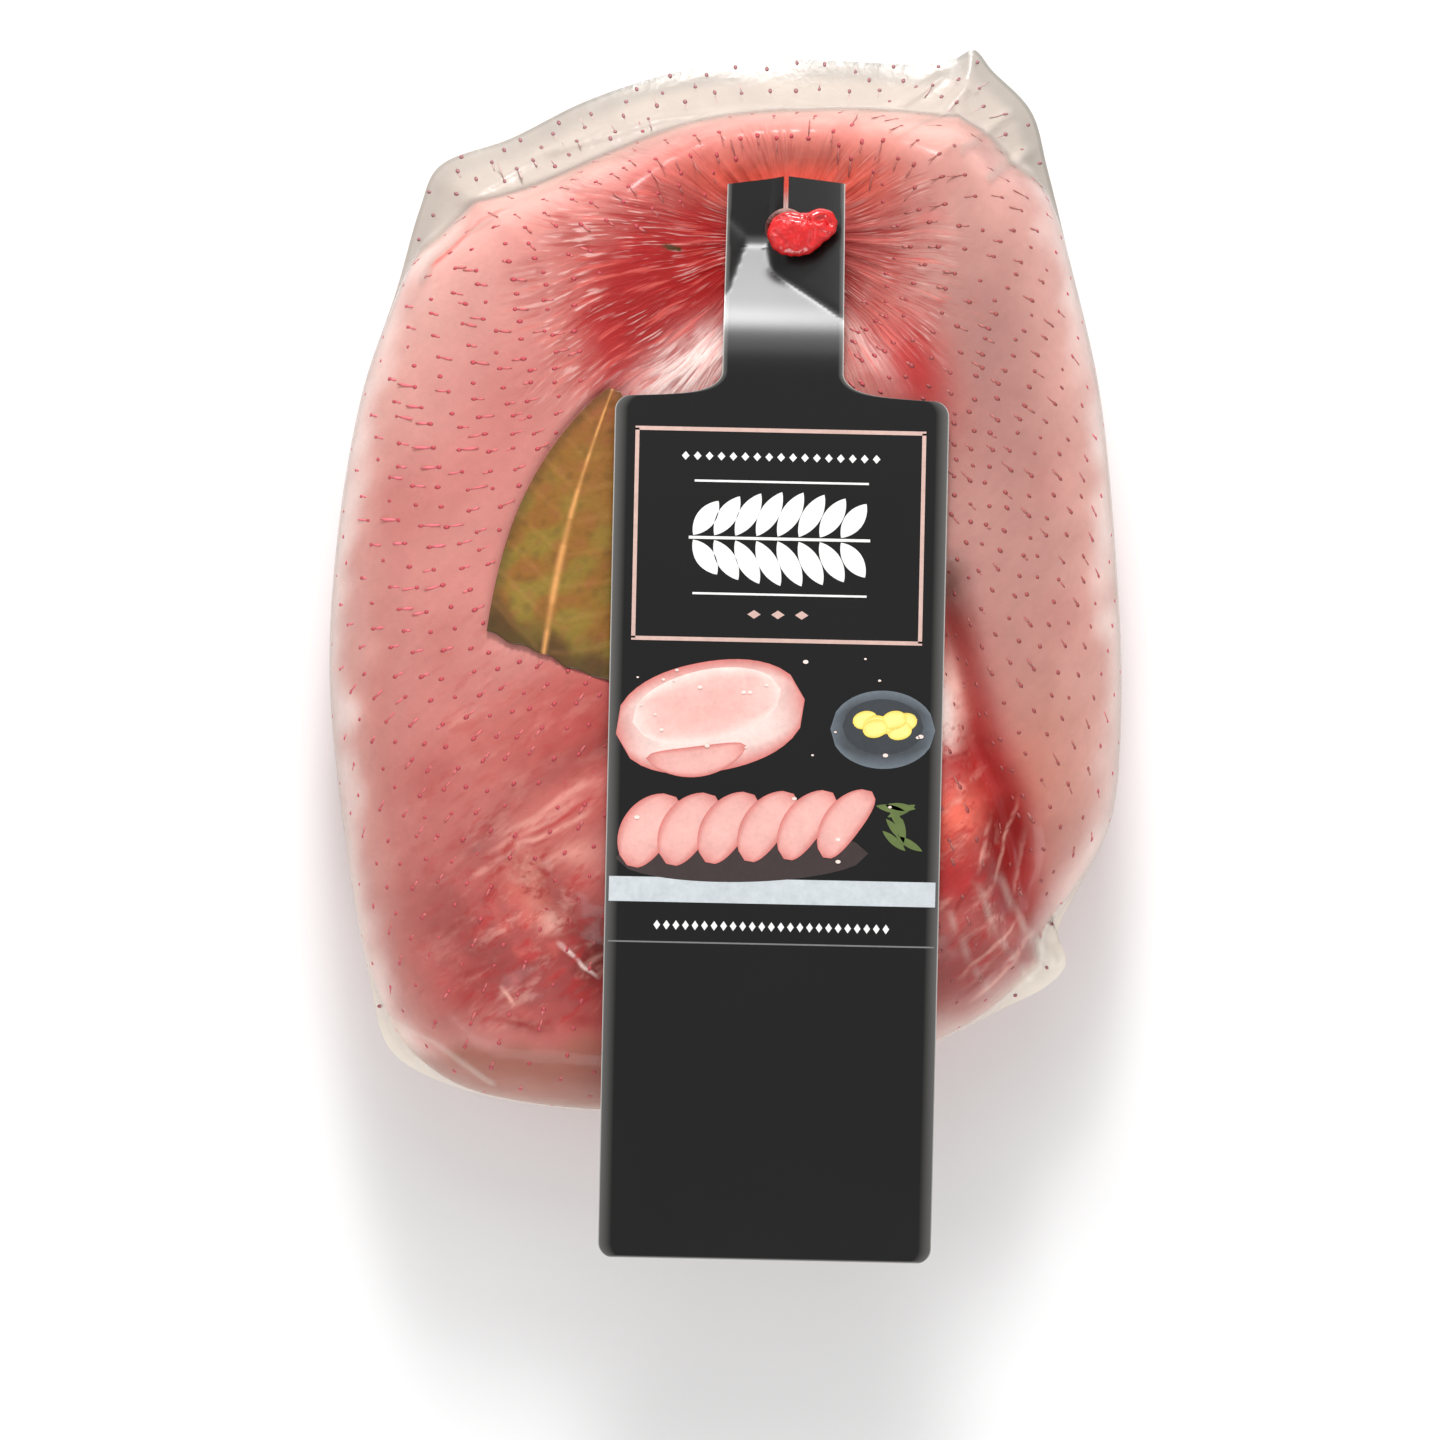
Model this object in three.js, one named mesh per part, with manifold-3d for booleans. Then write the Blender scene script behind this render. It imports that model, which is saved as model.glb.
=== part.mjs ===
// Corned beef tongue in a clear bag: the tongue is curled into a flat oval, the bag is drawn
// tight round it, gathered on the front near the top and closed there with a red clip. A bay leaf
// lies under the film, and a card tag with a long neck hangs from the gather.
// Millimetres, +Z up. The pack lies on its back: +Y is its top end, and the tag faces +Z.
// The origin is the middle of the whole thing's outline, on the surface that it rests on.

import * as THREE from 'three';
import { mergeVertices } from 'three/addons/utils/BufferGeometryUtils.js';
import Module from 'manifold-3d';

const wasm = await Module();
wasm.setup();

// The bag's outline seen from above, clockwise from its top left corner. The two upper corners
// and the ear at the lower right are empty film.
const OUTLINE = [
  [-66, 95], [-62, 104], [-46.3, 110.3], [-30, 118.5], [-12, 124.5], [6, 127.5], [24, 127.5],
  [42, 126.8], [50, 128], [54, 130], [58, 125.5], [66.5, 116.5], [70, 104], [75, 83], [81, 56],
  [84.5, 20], [85.8, -14], [83.5, -38], [76, -53.5], [72, -62.5], [74.2, -68.3], [70.5, -73],
  [60, -78.5], [45, -86], [24, -95], [-6, -100], [-36, -99.5], [-60, -94.5], [-72.5, -87],
  [-77, -72], [-82.5, -41], [-85.8, -6], [-84, 24], [-78.5, 55], [-71, 77.5],
];
const OUTLINE_STEPS = 360;

// The bag's cross-section
const CROWN = 57; // height of the curled tongue's crest
const SEAM_HEIGHT = 25; // height of the widest line round the pack
const SEAM_WAVE = 2;
const SHOULDER_WIDTH = 31; // from the outline in to the crest, at the sides
const SHOULDER_ROUNDNESS = 2.1;
const TOP_SHOULDER = { x: 10, y: 134, reach: 42, less: 16 }; // the shoulder is narrower there
const HEEL_WIDTH = 25; // from the outline in to the flat underside
const HEEL_ROUNDNESS = 2;
const FILM_EDGE = 0.8; // half the thickness of the film's outermost edge
const FILM_SLOPE = 0.6; // how fast the empty film opens towards the meat
const FILM_BLEND = 3;

// Empty film outside the meat: how far it stands out at the top and near each corner
const FINS = [
  { x: -58, y: 108, width: 9.8, reach: 19 },
  { x: -34, y: 118, width: 11.1, reach: 22 },
  { x: -8, y: 128, width: 8.5, reach: 24 },
  { x: 20, y: 132, width: 10.3, reach: 24 },
  { x: 44, y: 132, width: 6.5, reach: 20 },
  { x: 60, y: 120, width: 9.4, reach: 17 },
  { x: -74, y: -88, width: 3.2, reach: 13 },
  { x: 73, y: -71, width: 4.4, reach: 14 },
];
const FIN_FULL = 5; // the meat meets a fin this wide at a gentle angle, not square on

// The gather, where the bag's mouth is drawn together
const GATHER = { x: 13.4, y: 88.5 };
const GATHER_FLOOR = 43.5; // height of the film where the pleats meet
const GATHER_FLAT = 10; // radius of the floor
const GATHER_REACH = 36; // radius at which the crest is reached
const PLEATS = 24;
const PLEAT_DEPTH = 0.8;
const PLEAT_MIDDLE = 19; // radius where the pleats are deepest
const PLEAT_SPREAD = 10;
// Rings of the gathered tail from its tip down: half width, half depth, height
const TAIL_TIP = 56.4;
const TAIL_RINGS = [
  [1, 0.36, 56.1], [1.2, 0.4, 55.4], [1.2, 0.4, 54.2], [1.2, 0.5, 53], [1.5, 0.8, 51.6],
  [2, 1.2, 50], [2.4, 1.6, 48.4], [2.8, 2, 47], [3.9, 3.6, 45],
];

// Creases between the folds of meat, as routes in plan with a depth and a half width
const CREASES = [
  { route: [[46, 12], [48.6, -5], [52, -20], [57.8, -33], [61, -44], [62, -56]], depth: 6, width: 5 },
  { route: [[-24, -23], [-39, -32], [-52, -45]], depth: 2.5, width: 4.5 },
  { route: [[-45, -51], [-35, -61], [-20, -69]], depth: 5, width: 7 },
  { route: [[-59, -62], [-48, -74], [-20, -78]], depth: 3.5, width: 8 },
  { route: [[-1, 44], [7, -50]], depth: 3, width: 20 },
];
const NECK_DIP = { x: 19, y: 71, reach: 13, depth: 3 }; // where the tag's neck presses in
const FOOT_SLOPE = { from: -30, length: 60, drop: 3 }; // the crest falls towards the lower end

// How finely the bag is divided
const BAG_COLUMNS = 108;
const FUNNEL_RINGS = 8;
const FUNNEL_INNER = 5.2;
const FUNNEL_OUTER = 24;
const CREST_RINGS = 18;
const UNDERSIDE_RINGS = 9;
const UNDERSIDE_MIDDLE = { x: 0, y: 12 };
const ANGLE_SHARE = 0.45; // share of the columns spaced by angle, the rest by length of outline

// The bay leaf, with its torn lower edge
const LEAF = {
  baseX: -38.2, baseY: -2, tipX: -23.6, tipY: 54, leftWidth: 12.6, rightWidth: 19, taper: 2.5,
  fullness: 0.8, tornSlant: 0.15, bow: 1.8, depth: 0.1, thickness: 0.8, wave: 0.12, waves: 5,
  along: 14, across: 9,
};
const POCKET_MARGIN = 0.6;
const POCKET_DEPTH = 1.4;
const POCKET_ABOVE = 3;

// The card tag. Lengths run along it from its lower end, measured in plan
const TAG = {
  x: 8.2, y: -129.2, lean: THREE.MathUtils.degToRad(1.2), thickness: 0.6,
  halfWidth: 35, corner: 3.2, shoulder: 181, shoulderRise: 5.2, neckHalf: 12.7, topHalf: 12.4,
  top: 227, peak: 1.8, height: 58.6, clipHeight: 47.2, bendFrom: 184, bendLength: 18, slope: 0.52,
  droop: 2.5, droopLength: 70, hole: 217.7, holeRadius: 4.3, slitHalf: 0.5,
};
const TAG_CREASE = {
  leftAcross: -3.8, leftAlong: 208.8, rightAcross: 12.7, rightAlong: 197.7, fall: 0.15,
};
// Left of a second crease the neck falls less along itself and rises towards its left edge
const TAG_SIDE_CREASE = { across: -12.4, along: 202, turn: 0.34, fall: 0.4, rise: 0.35 };
const TAG_COLUMNS = 5; // on each side of the middle line

// The clip, a lacquered metal bean crimped over the end of the tail. Its lobes in plan
const CLIP_LOBES = [
  { x: 13.5, y: 86.6, radius: 4.7 },
  { x: 16.5, y: 86.3, radius: 4.1 },
  { x: 20.3, y: 88.6, radius: 3.4 },
];
const CLIP = {
  x: 16.2, y: 87.4, height: 55.5, halfHeight: 2.5, fullness: 2.3, blend: 2, reach: 9,
  around: 36, rings: 10, clearance: 0.25,
};

const clamp = THREE.MathUtils.clamp;
const smooth = (from, to, value) => {
  const t = clamp((value - from) / (to - from), 0, 1);
  return t * t * (3 - 2 * t);
};
// The larger of two values, rounded over where they cross
const smoothMax = (a, b, blend) => {
  const h = Math.max(blend - Math.abs(a - b), 0) / blend;
  return Math.max(a, b) + (h * h * blend) / 4;
};
const bump = (x, y, spot) => Math.exp(-((x - spot.x) ** 2 + (y - spot.y) ** 2) / spot.reach ** 2);

function outlinePoints() {
  const corners = OUTLINE.map(([x, y]) => new THREE.Vector3(x, y, 0));
  const curve = new THREE.CatmullRomCurve3(corners, true, 'centripetal');
  return curve.getSpacedPoints(OUTLINE_STEPS).slice(0, OUTLINE_STEPS);
}

const edge = outlinePoints();

function segmentDistance(x, y, ax, ay, bx, by) {
  const dx = bx - ax;
  const dy = by - ay;
  const t = clamp(((x - ax) * dx + (y - ay) * dy) / (dx * dx + dy * dy), 0, 1);
  return Math.hypot(x - ax - t * dx, y - ay - t * dy);
}

function edgeDistance(x, y) {
  let least = Infinity;
  edge.forEach((a, i) => {
    const b = edge[(i + 1) % edge.length];
    least = Math.min(least, segmentDistance(x, y, a.x, a.y, b.x, b.y));
  });
  return least;
}

function routeDistance(x, y, route) {
  let least = Infinity;
  for (let i = 0; i + 1 < route.length; i += 1) {
    least = Math.min(least, segmentDistance(x, y, ...route[i], ...route[i + 1]));
  }
  return least;
}

// Height of the crest over a point, before the bag rolls over to its sides
function crestHeight(x, y) {
  const r = Math.hypot(x - GATHER.x, y - GATHER.y);
  const angle = Math.atan2(y - GATHER.y, x - GATHER.x);
  let height = CROWN - (CROWN - GATHER_FLOOR) * (1 - smooth(GATHER_FLAT, GATHER_REACH, r));
  height -= NECK_DIP.depth * bump(x, y, NECK_DIP);
  height -= FOOT_SLOPE.drop * smooth(FOOT_SLOPE.from, FOOT_SLOPE.from - FOOT_SLOPE.length, y);
  for (const crease of CREASES) {
    const away = routeDistance(x, y, crease.route) / crease.width;
    height -= crease.depth * Math.exp(-away * away);
  }
  const pleat = Math.exp(-(((r - PLEAT_MIDDLE) / PLEAT_SPREAD) ** 2));
  return height + PLEAT_DEPTH * pleat * Math.sin(PLEATS * angle + 1.5 * Math.sin(3 * angle));
}

const finWidth = (x, y) => FINS.reduce((sum, f) => sum + f.width * bump(x, y, f), 0);
const seamHeight = (x, y) => SEAM_HEIGHT + SEAM_WAVE * Math.sin(3 * Math.atan2(y, x) + 1);
const emptyFilm = (d, fin) => FILM_EDGE + FILM_SLOPE * Math.min(d, fin + 4);

// Quarter of a superellipse, from 0 at the outline to 1 a given width inside it
function roll(inside, width, roundness, fin) {
  const s = clamp(inside / width, 0, 1);
  const square = (1 - (1 - s) ** roundness) ** (1 / roundness);
  const gentle = 1 - (1 - s) ** 2.4;
  return THREE.MathUtils.lerp(square, gentle, smooth(0, FIN_FULL, fin));
}

function topHeight(x, y) {
  const d = edgeDistance(x, y);
  const fin = finWidth(x, y);
  const seam = seamHeight(x, y);
  const width = SHOULDER_WIDTH - TOP_SHOULDER.less * bump(x, y, TOP_SHOULDER);
  const meat = (crestHeight(x, y) - seam) * roll(d - fin, width, SHOULDER_ROUNDNESS, fin);
  return seam + smoothMax(meat, emptyFilm(d, fin), FILM_BLEND);
}

function undersideHeight(x, y) {
  const d = edgeDistance(x, y);
  const fin = finWidth(x, y);
  const seam = seamHeight(x, y);
  const meat = seam * roll(d - fin, HEEL_WIDTH, HEEL_ROUNDNESS, fin);
  return Math.max(seam - smoothMax(meat, emptyFilm(d, fin), FILM_BLEND), 0);
}

// Outline points for the columns, spaced partly by angle round the gather and partly by length
function columnPoints() {
  const share = edge.map((p, i) => {
    const q = edge[(i + 1) % edge.length];
    const turn = Math.abs(
      Math.atan2(
        (p.x - GATHER.x) * (q.y - GATHER.y) - (p.y - GATHER.y) * (q.x - GATHER.x),
        (p.x - GATHER.x) * (q.x - GATHER.x) + (p.y - GATHER.y) * (q.y - GATHER.y),
      ),
    );
    return (ANGLE_SHARE * turn) / (2 * Math.PI) + (1 - ANGLE_SHARE) / edge.length;
  });
  const total = share.reduce((a, b) => a + b, 0);
  const columns = [];
  let passed = 0;
  let i = 0;
  for (let c = 0; c < BAG_COLUMNS; c += 1) {
    const wanted = (total * c) / BAG_COLUMNS;
    while (passed + share[i] < wanted) {
      passed += share[i];
      i += 1;
    }
    const next = edge[(i + 1) % edge.length];
    columns.push(edge[i].clone().lerp(next, (wanted - passed) / share[i]));
  }
  return columns;
}

// Closed surface from rings of equal length between two poles
function closedRings(firstPole, rings, lastPole) {
  const n = rings[0].length;
  const positions = [...firstPole, ...rings.flat(2), ...lastPole];
  const last = 1 + rings.length * n;
  const index = [];
  for (let c = 0; c < n; c += 1) {
    const d = (c + 1) % n;
    index.push(0, 1 + c, 1 + d);
    for (let k = 0; k + 1 < rings.length; k += 1) {
      const a = 1 + k * n;
      const b = a + n;
      index.push(a + c, b + c, b + d, a + c, b + d, a + d);
    }
    const end = 1 + (rings.length - 1) * n;
    index.push(end + c, last, end + d);
  }
  return geometryOf(positions, index);
}

function geometryOf(positions, index) {
  const geometry = new THREE.BufferGeometry();
  geometry.setAttribute('position', new THREE.Float32BufferAttribute(positions, 3));
  geometry.setIndex(index);
  return geometry;
}

function bagGeometry() {
  const columns = columnPoints().reverse(); // counter-clockwise
  const rings = TAIL_RINGS.map(([rx, ry, z]) => columns.map((p) => {
    const angle = Math.atan2(p.y - GATHER.y, p.x - GATHER.x);
    return [GATHER.x + rx * Math.cos(angle), GATHER.y + ry * Math.sin(angle), z];
  }));
  const reach = (p) => Math.hypot(p.x - GATHER.x, p.y - GATHER.y);
  const onTop = (p, r) => {
    const t = r / reach(p);
    const x = THREE.MathUtils.lerp(GATHER.x, p.x, t);
    const y = THREE.MathUtils.lerp(GATHER.y, p.y, t);
    return [x, y, topHeight(x, y)];
  };
  for (let k = 0; k < FUNNEL_RINGS; k += 1) {
    const r = THREE.MathUtils.lerp(FUNNEL_INNER, FUNNEL_OUTER, k / FUNNEL_RINGS);
    rings.push(columns.map((p) => onTop(p, r)));
  }
  for (let k = 0; k <= CREST_RINGS; k += 1) {
    const t = Math.sin((Math.PI / 2) * (k / CREST_RINGS));
    rings.push(columns.map((p) => onTop(p, THREE.MathUtils.lerp(FUNNEL_OUTER, reach(p), t))));
  }
  for (let k = 0; k < UNDERSIDE_RINGS; k += 1) {
    const t = Math.cos((Math.PI / 2) * (k / UNDERSIDE_RINGS));
    rings.push(columns.map((p) => {
      const x = THREE.MathUtils.lerp(UNDERSIDE_MIDDLE.x, p.x, t);
      const y = THREE.MathUtils.lerp(UNDERSIDE_MIDDLE.y, p.y, t);
      return [x, y, undersideHeight(x, y)];
    }));
  }
  const tip = [GATHER.x, GATHER.y, TAIL_TIP];
  return closedRings(tip, rings, [UNDERSIDE_MIDDLE.x, UNDERSIDE_MIDDLE.y, 0]);
}

// Closed solid between an upper and a lower sheet over the same grid of points
function slabGeometry(columns, rows, upper, lower) {
  const positions = [];
  for (const side of [upper, lower]) {
    for (let j = 0; j <= rows; j += 1) {
      for (let i = 0; i <= columns; i += 1) {
        positions.push(...side(i / columns, j / rows));
      }
    }
  }
  const wide = columns + 1;
  const below = wide * (rows + 1);
  const index = [];
  for (let j = 0; j < rows; j += 1) {
    for (let i = 0; i < columns; i += 1) {
      const a = j * wide + i;
      const b = a + 1;
      const c = b + wide;
      const d = a + wide;
      index.push(a, b, c, a, c, d);
      index.push(below + a, below + c, below + b, below + a, below + d, below + c);
    }
  }
  const wall = (a, b) => index.push(a, below + a, below + b, a, below + b, b);
  for (let i = 0; i < columns; i += 1) {
    wall(i, i + 1);
    wall(rows * wide + i + 1, rows * wide + i);
  }
  for (let j = 0; j < rows; j += 1) {
    wall((j + 1) * wide, j * wide);
    wall(j * wide + columns, (j + 1) * wide + columns);
  }
  return geometryOf(positions, index);
}

// A point of the leaf in plan: u runs across it and v from the torn edge to the tip
function leafPoint(u, v, margin) {
  const dx = LEAF.tipX - LEAF.baseX;
  const dy = LEAF.tipY - LEAF.baseY;
  const length = Math.hypot(dx, dy);
  const share = (1 - (0.985 * v) ** LEAF.taper) ** LEAF.fullness;
  const left = -LEAF.leftWidth * share - margin;
  const across = THREE.MathUtils.lerp(left, LEAF.rightWidth * share + margin, u);
  const slant = -LEAF.tornSlant * across * (1 - v);
  const along = THREE.MathUtils.lerp(-margin, length + margin, v) + slant;
  const bow = LEAF.bow * Math.sin(Math.PI * clamp(along / length, 0, 1));
  const side = across - bow;
  return [
    LEAF.baseX + (dx * along + dy * side) / length,
    LEAF.baseY + (dy * along - dx * side) / length,
  ];
}

function leafSheet(margin, offset, wave) {
  return (u, v) => {
    const [x, y] = leafPoint(u, v, margin);
    return [x, y, topHeight(x, y) + offset + wave * Math.sin(LEAF.waves * Math.PI * (u + v))];
  };
}

function leafGeometry() {
  const upper = leafSheet(0, -LEAF.depth - LEAF.wave, LEAF.wave);
  const lower = leafSheet(0, -LEAF.depth - LEAF.wave - LEAF.thickness, LEAF.wave);
  return slabGeometry(LEAF.across, LEAF.along, upper, lower);
}

function pocketGeometry() {
  const floor = leafSheet(POCKET_MARGIN, -POCKET_DEPTH, 0);
  return slabGeometry(LEAF.across, LEAF.along, leafSheet(POCKET_MARGIN, POCKET_ABOVE, 0), floor);
}

// Half the tag's width at each station along its outline, from the lower end to the top
function tagOutline() {
  const rows = [];
  const cornerSteps = 4;
  for (let k = 0; k <= cornerSteps; k += 1) {
    const angle = (Math.PI / 2) * (k / cornerSteps);
    rows.push({
      along: TAG.corner * (1 - Math.cos(angle)),
      half: TAG.halfWidth - TAG.corner * (1 - Math.sin(angle)),
    });
  }
  const bodySteps = 9;
  for (let k = 1; k <= bodySteps; k += 1) {
    const along = THREE.MathUtils.lerp(TAG.corner, TAG.shoulder - TAG.corner, k / bodySteps);
    rows.push({ along, half: TAG.halfWidth });
  }
  for (let k = 1; k <= cornerSteps; k += 1) {
    const angle = (Math.PI / 2) * (k / cornerSteps);
    rows.push({
      along: TAG.shoulder - TAG.corner * (1 - Math.sin(angle)),
      half: TAG.halfWidth - TAG.corner * (1 - Math.cos(angle)),
    });
  }
  // The shoulder runs in to the neck along a curve that steepens
  const shoulderSteps = 7;
  const from = TAG.halfWidth - TAG.corner;
  for (let k = 1; k <= shoulderSteps; k += 1) {
    const t = k / shoulderSteps;
    rows.push({
      along: TAG.shoulder + TAG.shoulderRise * (0.25 * t + 0.75 * t ** 4),
      half: THREE.MathUtils.lerp(from, TAG.neckHalf, 1 - (1 - t) ** 1.5),
    });
  }
  return rows;
}

// Stations up the neck: below the hole, round the hole, and along the slit above it
function neckStations() {
  const start = TAG.shoulder + TAG.shoulderRise;
  const rows = [];
  const below = TAG.hole - TAG.holeRadius;
  const slopeSteps = 9;
  for (let k = 1; k < slopeSteps; k += 1) {
    rows.push({ along: THREE.MathUtils.lerp(start, below, k / slopeSteps), gap: 0 });
  }
  rows.push({ along: below, gap: 0 });
  const holeSteps = 8;
  const last = Math.PI - Math.asin(TAG.slitHalf / TAG.holeRadius);
  for (let k = 1; k <= holeSteps; k += 1) {
    const angle = (last * k) / holeSteps;
    rows.push({
      along: TAG.hole - TAG.holeRadius * Math.cos(angle),
      gap: TAG.holeRadius * Math.sin(angle),
    });
  }
  rows.push({ along: TAG.top - 2, gap: TAG.slitHalf });
  rows.push({ along: TAG.top, gap: TAG.slitHalf });
  return rows.map((row) => ({
    ...row,
    half: THREE.MathUtils.lerp(TAG.neckHalf, TAG.topHalf, (row.along - start) / (TAG.top - start)),
  }));
}

// Height of the card's middle plane: flat on the pack, bent down to the clip, drooping a little
// at its lower end, and creased on a slant so that the right of the neck is a flap that falls less
function tagHeight(across, along) {
  // The slope grows to its full value over the bend's length and then stays
  const bend = (s) => {
    const t = clamp((s - TAG.bendFrom) / TAG.bendLength, 0, 1);
    const straight = Math.max(s - TAG.bendFrom - TAG.bendLength, 0);
    return TAG.height - TAG.slope * (TAG.bendLength * (t ** 3 - t ** 4 / 2) + straight);
  };
  const droop = TAG.droop * Math.max(1 - along / TAG.droopLength, 0) ** 2;
  const side = bend(TAG_SIDE_CREASE.along) - TAG_SIDE_CREASE.fall * (along - TAG_SIDE_CREASE.along)
    - TAG_SIDE_CREASE.rise * (across - TAG_SIDE_CREASE.across);
  const onSide = smooth(0, 2, along - TAG_SIDE_CREASE.along
    - (across - TAG_SIDE_CREASE.across) / TAG_SIDE_CREASE.turn)
    * smooth(TAG_SIDE_CREASE.along - 4, TAG_SIDE_CREASE.along, along);
  const sloped = Math.max(bend(along), THREE.MathUtils.lerp(0, side, onSide));
  const base = smoothMax(sloped, TAG.clipHeight, 1) - droop;
  const slant = (TAG_CREASE.rightAlong - TAG_CREASE.leftAlong)
    / (TAG_CREASE.rightAcross - TAG_CREASE.leftAcross);
  const crease = TAG_CREASE.leftAlong + slant * (across - TAG_CREASE.leftAcross);
  const beyond = Math.max(along - crease, 0);
  const flap = Math.max(bend(crease) - TAG_CREASE.fall * beyond, TAG.clipHeight);
  const onFlap = smooth(0, 1.5, beyond) * smooth(TAG_CREASE.leftAcross, 0, across);
  return THREE.MathUtils.lerp(base, Math.max(flap, base), onFlap);
}

function tagPoint(across, along, side) {
  const step = 0.5;
  const slope = (tagHeight(across, along + step) - tagHeight(across, along - step)) / (2 * step);
  const half = (side * TAG.thickness) / 2 / Math.hypot(1, slope);
  const s = along - slope * half;
  const z = tagHeight(across, along) + half;
  return [
    TAG.x + across * Math.cos(TAG.lean) + s * Math.sin(TAG.lean),
    TAG.y - across * Math.sin(TAG.lean) + s * Math.cos(TAG.lean),
    z,
  ];
}

function tagGeometry() {
  const rows = [
    ...tagOutline().map((row) => ({ ...row, gap: 0 })),
    ...neckStations(),
  ];
  // Each row has a left and a right half; they share their middle point where there is no gap
  const positions = [];
  const ids = new Map();
  const pointId = (across, along, side) => {
    const key = [across.toFixed(4), along.toFixed(4), side].join(' ');
    if (!ids.has(key)) {
      ids.set(key, positions.length / 3);
      positions.push(...tagPoint(across, along, side));
    }
    return ids.get(key);
  };
  const index = [];
  const grid = (sign) => rows.map((row) => {
    const line = [];
    for (let i = 0; i <= TAG_COLUMNS; i += 1) {
      const across = sign * THREE.MathUtils.lerp(row.gap, row.half, i / TAG_COLUMNS);
      const peak = TAG.peak * (1 - Math.abs(across) / TAG.topHalf);
      line.push({ across, along: row.along + (row.along === TAG.top ? peak : 0) });
    }
    return line;
  });
  const faces = [];
  for (const sign of [-1, 1]) {
    const lines = grid(sign);
    for (let j = 0; j + 1 < lines.length; j += 1) {
      for (let i = 0; i < TAG_COLUMNS; i += 1) {
        const quad = [lines[j][i], lines[j][i + 1], lines[j + 1][i + 1], lines[j + 1][i]];
        faces.push(sign > 0 ? quad : quad.reverse());
      }
    }
  }
  const open = new Map();
  for (const [a, b, c, d] of faces) {
    for (const triangle of [[a, b, c], [a, c, d]]) {
      const upper = triangle.map((p) => pointId(p.across, p.along, 1));
      if (new Set(upper).size === 3) {
        const lower = triangle.map((p) => pointId(p.across, p.along, -1));
        index.push(...upper, ...lower.reverse());
        for (let k = 0; k < 3; k += 1) {
          const from = upper[k];
          const to = upper[(k + 1) % 3];
          if (!open.delete(`${to} ${from}`)) {
            open.set(`${from} ${to}`, [triangle[k], triangle[(k + 1) % 3]]);
          }
        }
      }
    }
  }
  for (const [from, to] of open.values()) {
    const [a, b] = [from, to].map((p) => pointId(p.across, p.along, 1));
    const [c, d] = [from, to].map((p) => pointId(p.across, p.along, -1));
    index.push(a, c, d, a, d, b);
  }
  return geometryOf(positions, index);
}

// Distance from the clip's middle to its outline, in the direction of an angle
function clipReach(angle) {
  const inside = (r) => {
    const x = CLIP.x + r * Math.cos(angle);
    const y = CLIP.y + r * Math.sin(angle);
    const depths = CLIP_LOBES.map((lobe) => lobe.radius - Math.hypot(x - lobe.x, y - lobe.y));
    return depths.reduce((a, b) => smoothMax(a, b, CLIP.blend)) > 0;
  };
  let low = 0;
  let high = CLIP.reach;
  while (high - low > 0.001) {
    const r = (low + high) / 2;
    if (inside(r)) low = r;
    else high = r;
  }
  return low;
}

// A bean: one outline with two lobes, rounded over above and below
function clipGeometry() {
  const rings = [];
  for (let k = 1; k < CLIP.rings; k += 1) {
    const tilt = Math.PI * (k / CLIP.rings);
    const share = Math.sin(tilt) ** (2 / CLIP.fullness);
    const rise = Math.sign(Math.cos(tilt)) * Math.abs(Math.cos(tilt)) ** (2 / CLIP.fullness);
    const ring = [];
    for (let i = 0; i < CLIP.around; i += 1) {
      const angle = (2 * Math.PI * i) / CLIP.around;
      const r = clipReach(angle) * share;
      const x = CLIP.x + r * Math.cos(angle);
      ring.push([x, CLIP.y + r * Math.sin(angle), CLIP.height + CLIP.halfHeight * rise]);
    }
    rings.push(ring);
  }
  const top = [CLIP.x, CLIP.y, CLIP.height + CLIP.halfHeight];
  return closedRings(top, rings, [CLIP.x, CLIP.y, CLIP.height - CLIP.halfHeight]);
}

// The room that the end of the tail takes up in the clip
function clipPocketGeometry() {
  const gap = CLIP.clearance;
  const steps = 20;
  const rings = TAIL_RINGS.map(([rx, ry, z]) => {
    const ring = [];
    for (let i = 0; i < steps; i += 1) {
      const angle = (2 * Math.PI * i) / steps;
      const x = GATHER.x + (rx + gap) * Math.cos(angle);
      ring.push([x, GATHER.y + (ry + gap) * Math.sin(angle), z + gap]);
    }
    return ring;
  });
  const top = [GATHER.x, GATHER.y, TAIL_TIP + gap];
  const [, , last] = TAIL_RINGS[TAIL_RINGS.length - 1];
  return closedRings(top, rings, [GATHER.x, GATHER.y, last]);
}

function solidOf(geometry) {
  const merged = mergeVertices(geometry);
  return new wasm.Manifold(new wasm.Mesh({
    numProp: 3,
    vertProperties: new Float32Array(merged.attributes.position.array),
    triVerts: new Uint32Array(merged.index.array),
  }));
}

function geometryFrom(solid) {
  const mesh = solid.getMesh();
  return geometryOf(Array.from(mesh.vertProperties), Array.from(mesh.triVerts));
}

function part(name, geometry, color, roughness, metalness = 0) {
  const material = new THREE.MeshStandardMaterial({ color, roughness, metalness });
  const mesh = new THREE.Mesh(geometry, material);
  mesh.name = name;
  return mesh;
}

const bag = solidOf(bagGeometry()).subtract(solidOf(pocketGeometry()));
const clip = solidOf(clipGeometry()).subtract(solidOf(clipPocketGeometry()));

const pack = new THREE.Group();
pack.add(part('bag', geometryFrom(bag), 0xd08a80, 0.25));
pack.add(part('bay_leaf', leafGeometry(), 0x8d6a34, 0.55));
pack.add(part('tag', tagGeometry(), 0x2c2c2c, 0.3));
pack.add(part('clip', geometryFrom(clip), 0xd02424, 0.2, 0.3));

export default pack;
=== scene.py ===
"""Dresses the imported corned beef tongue: the clear casing, the cured meat in it, the pricks in the
casing, the bay leaf, the red clip and the printed card tag, with a plain studio round them.

Shapes are worked out in millimetres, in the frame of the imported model, and stored in metres.
"""

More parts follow.
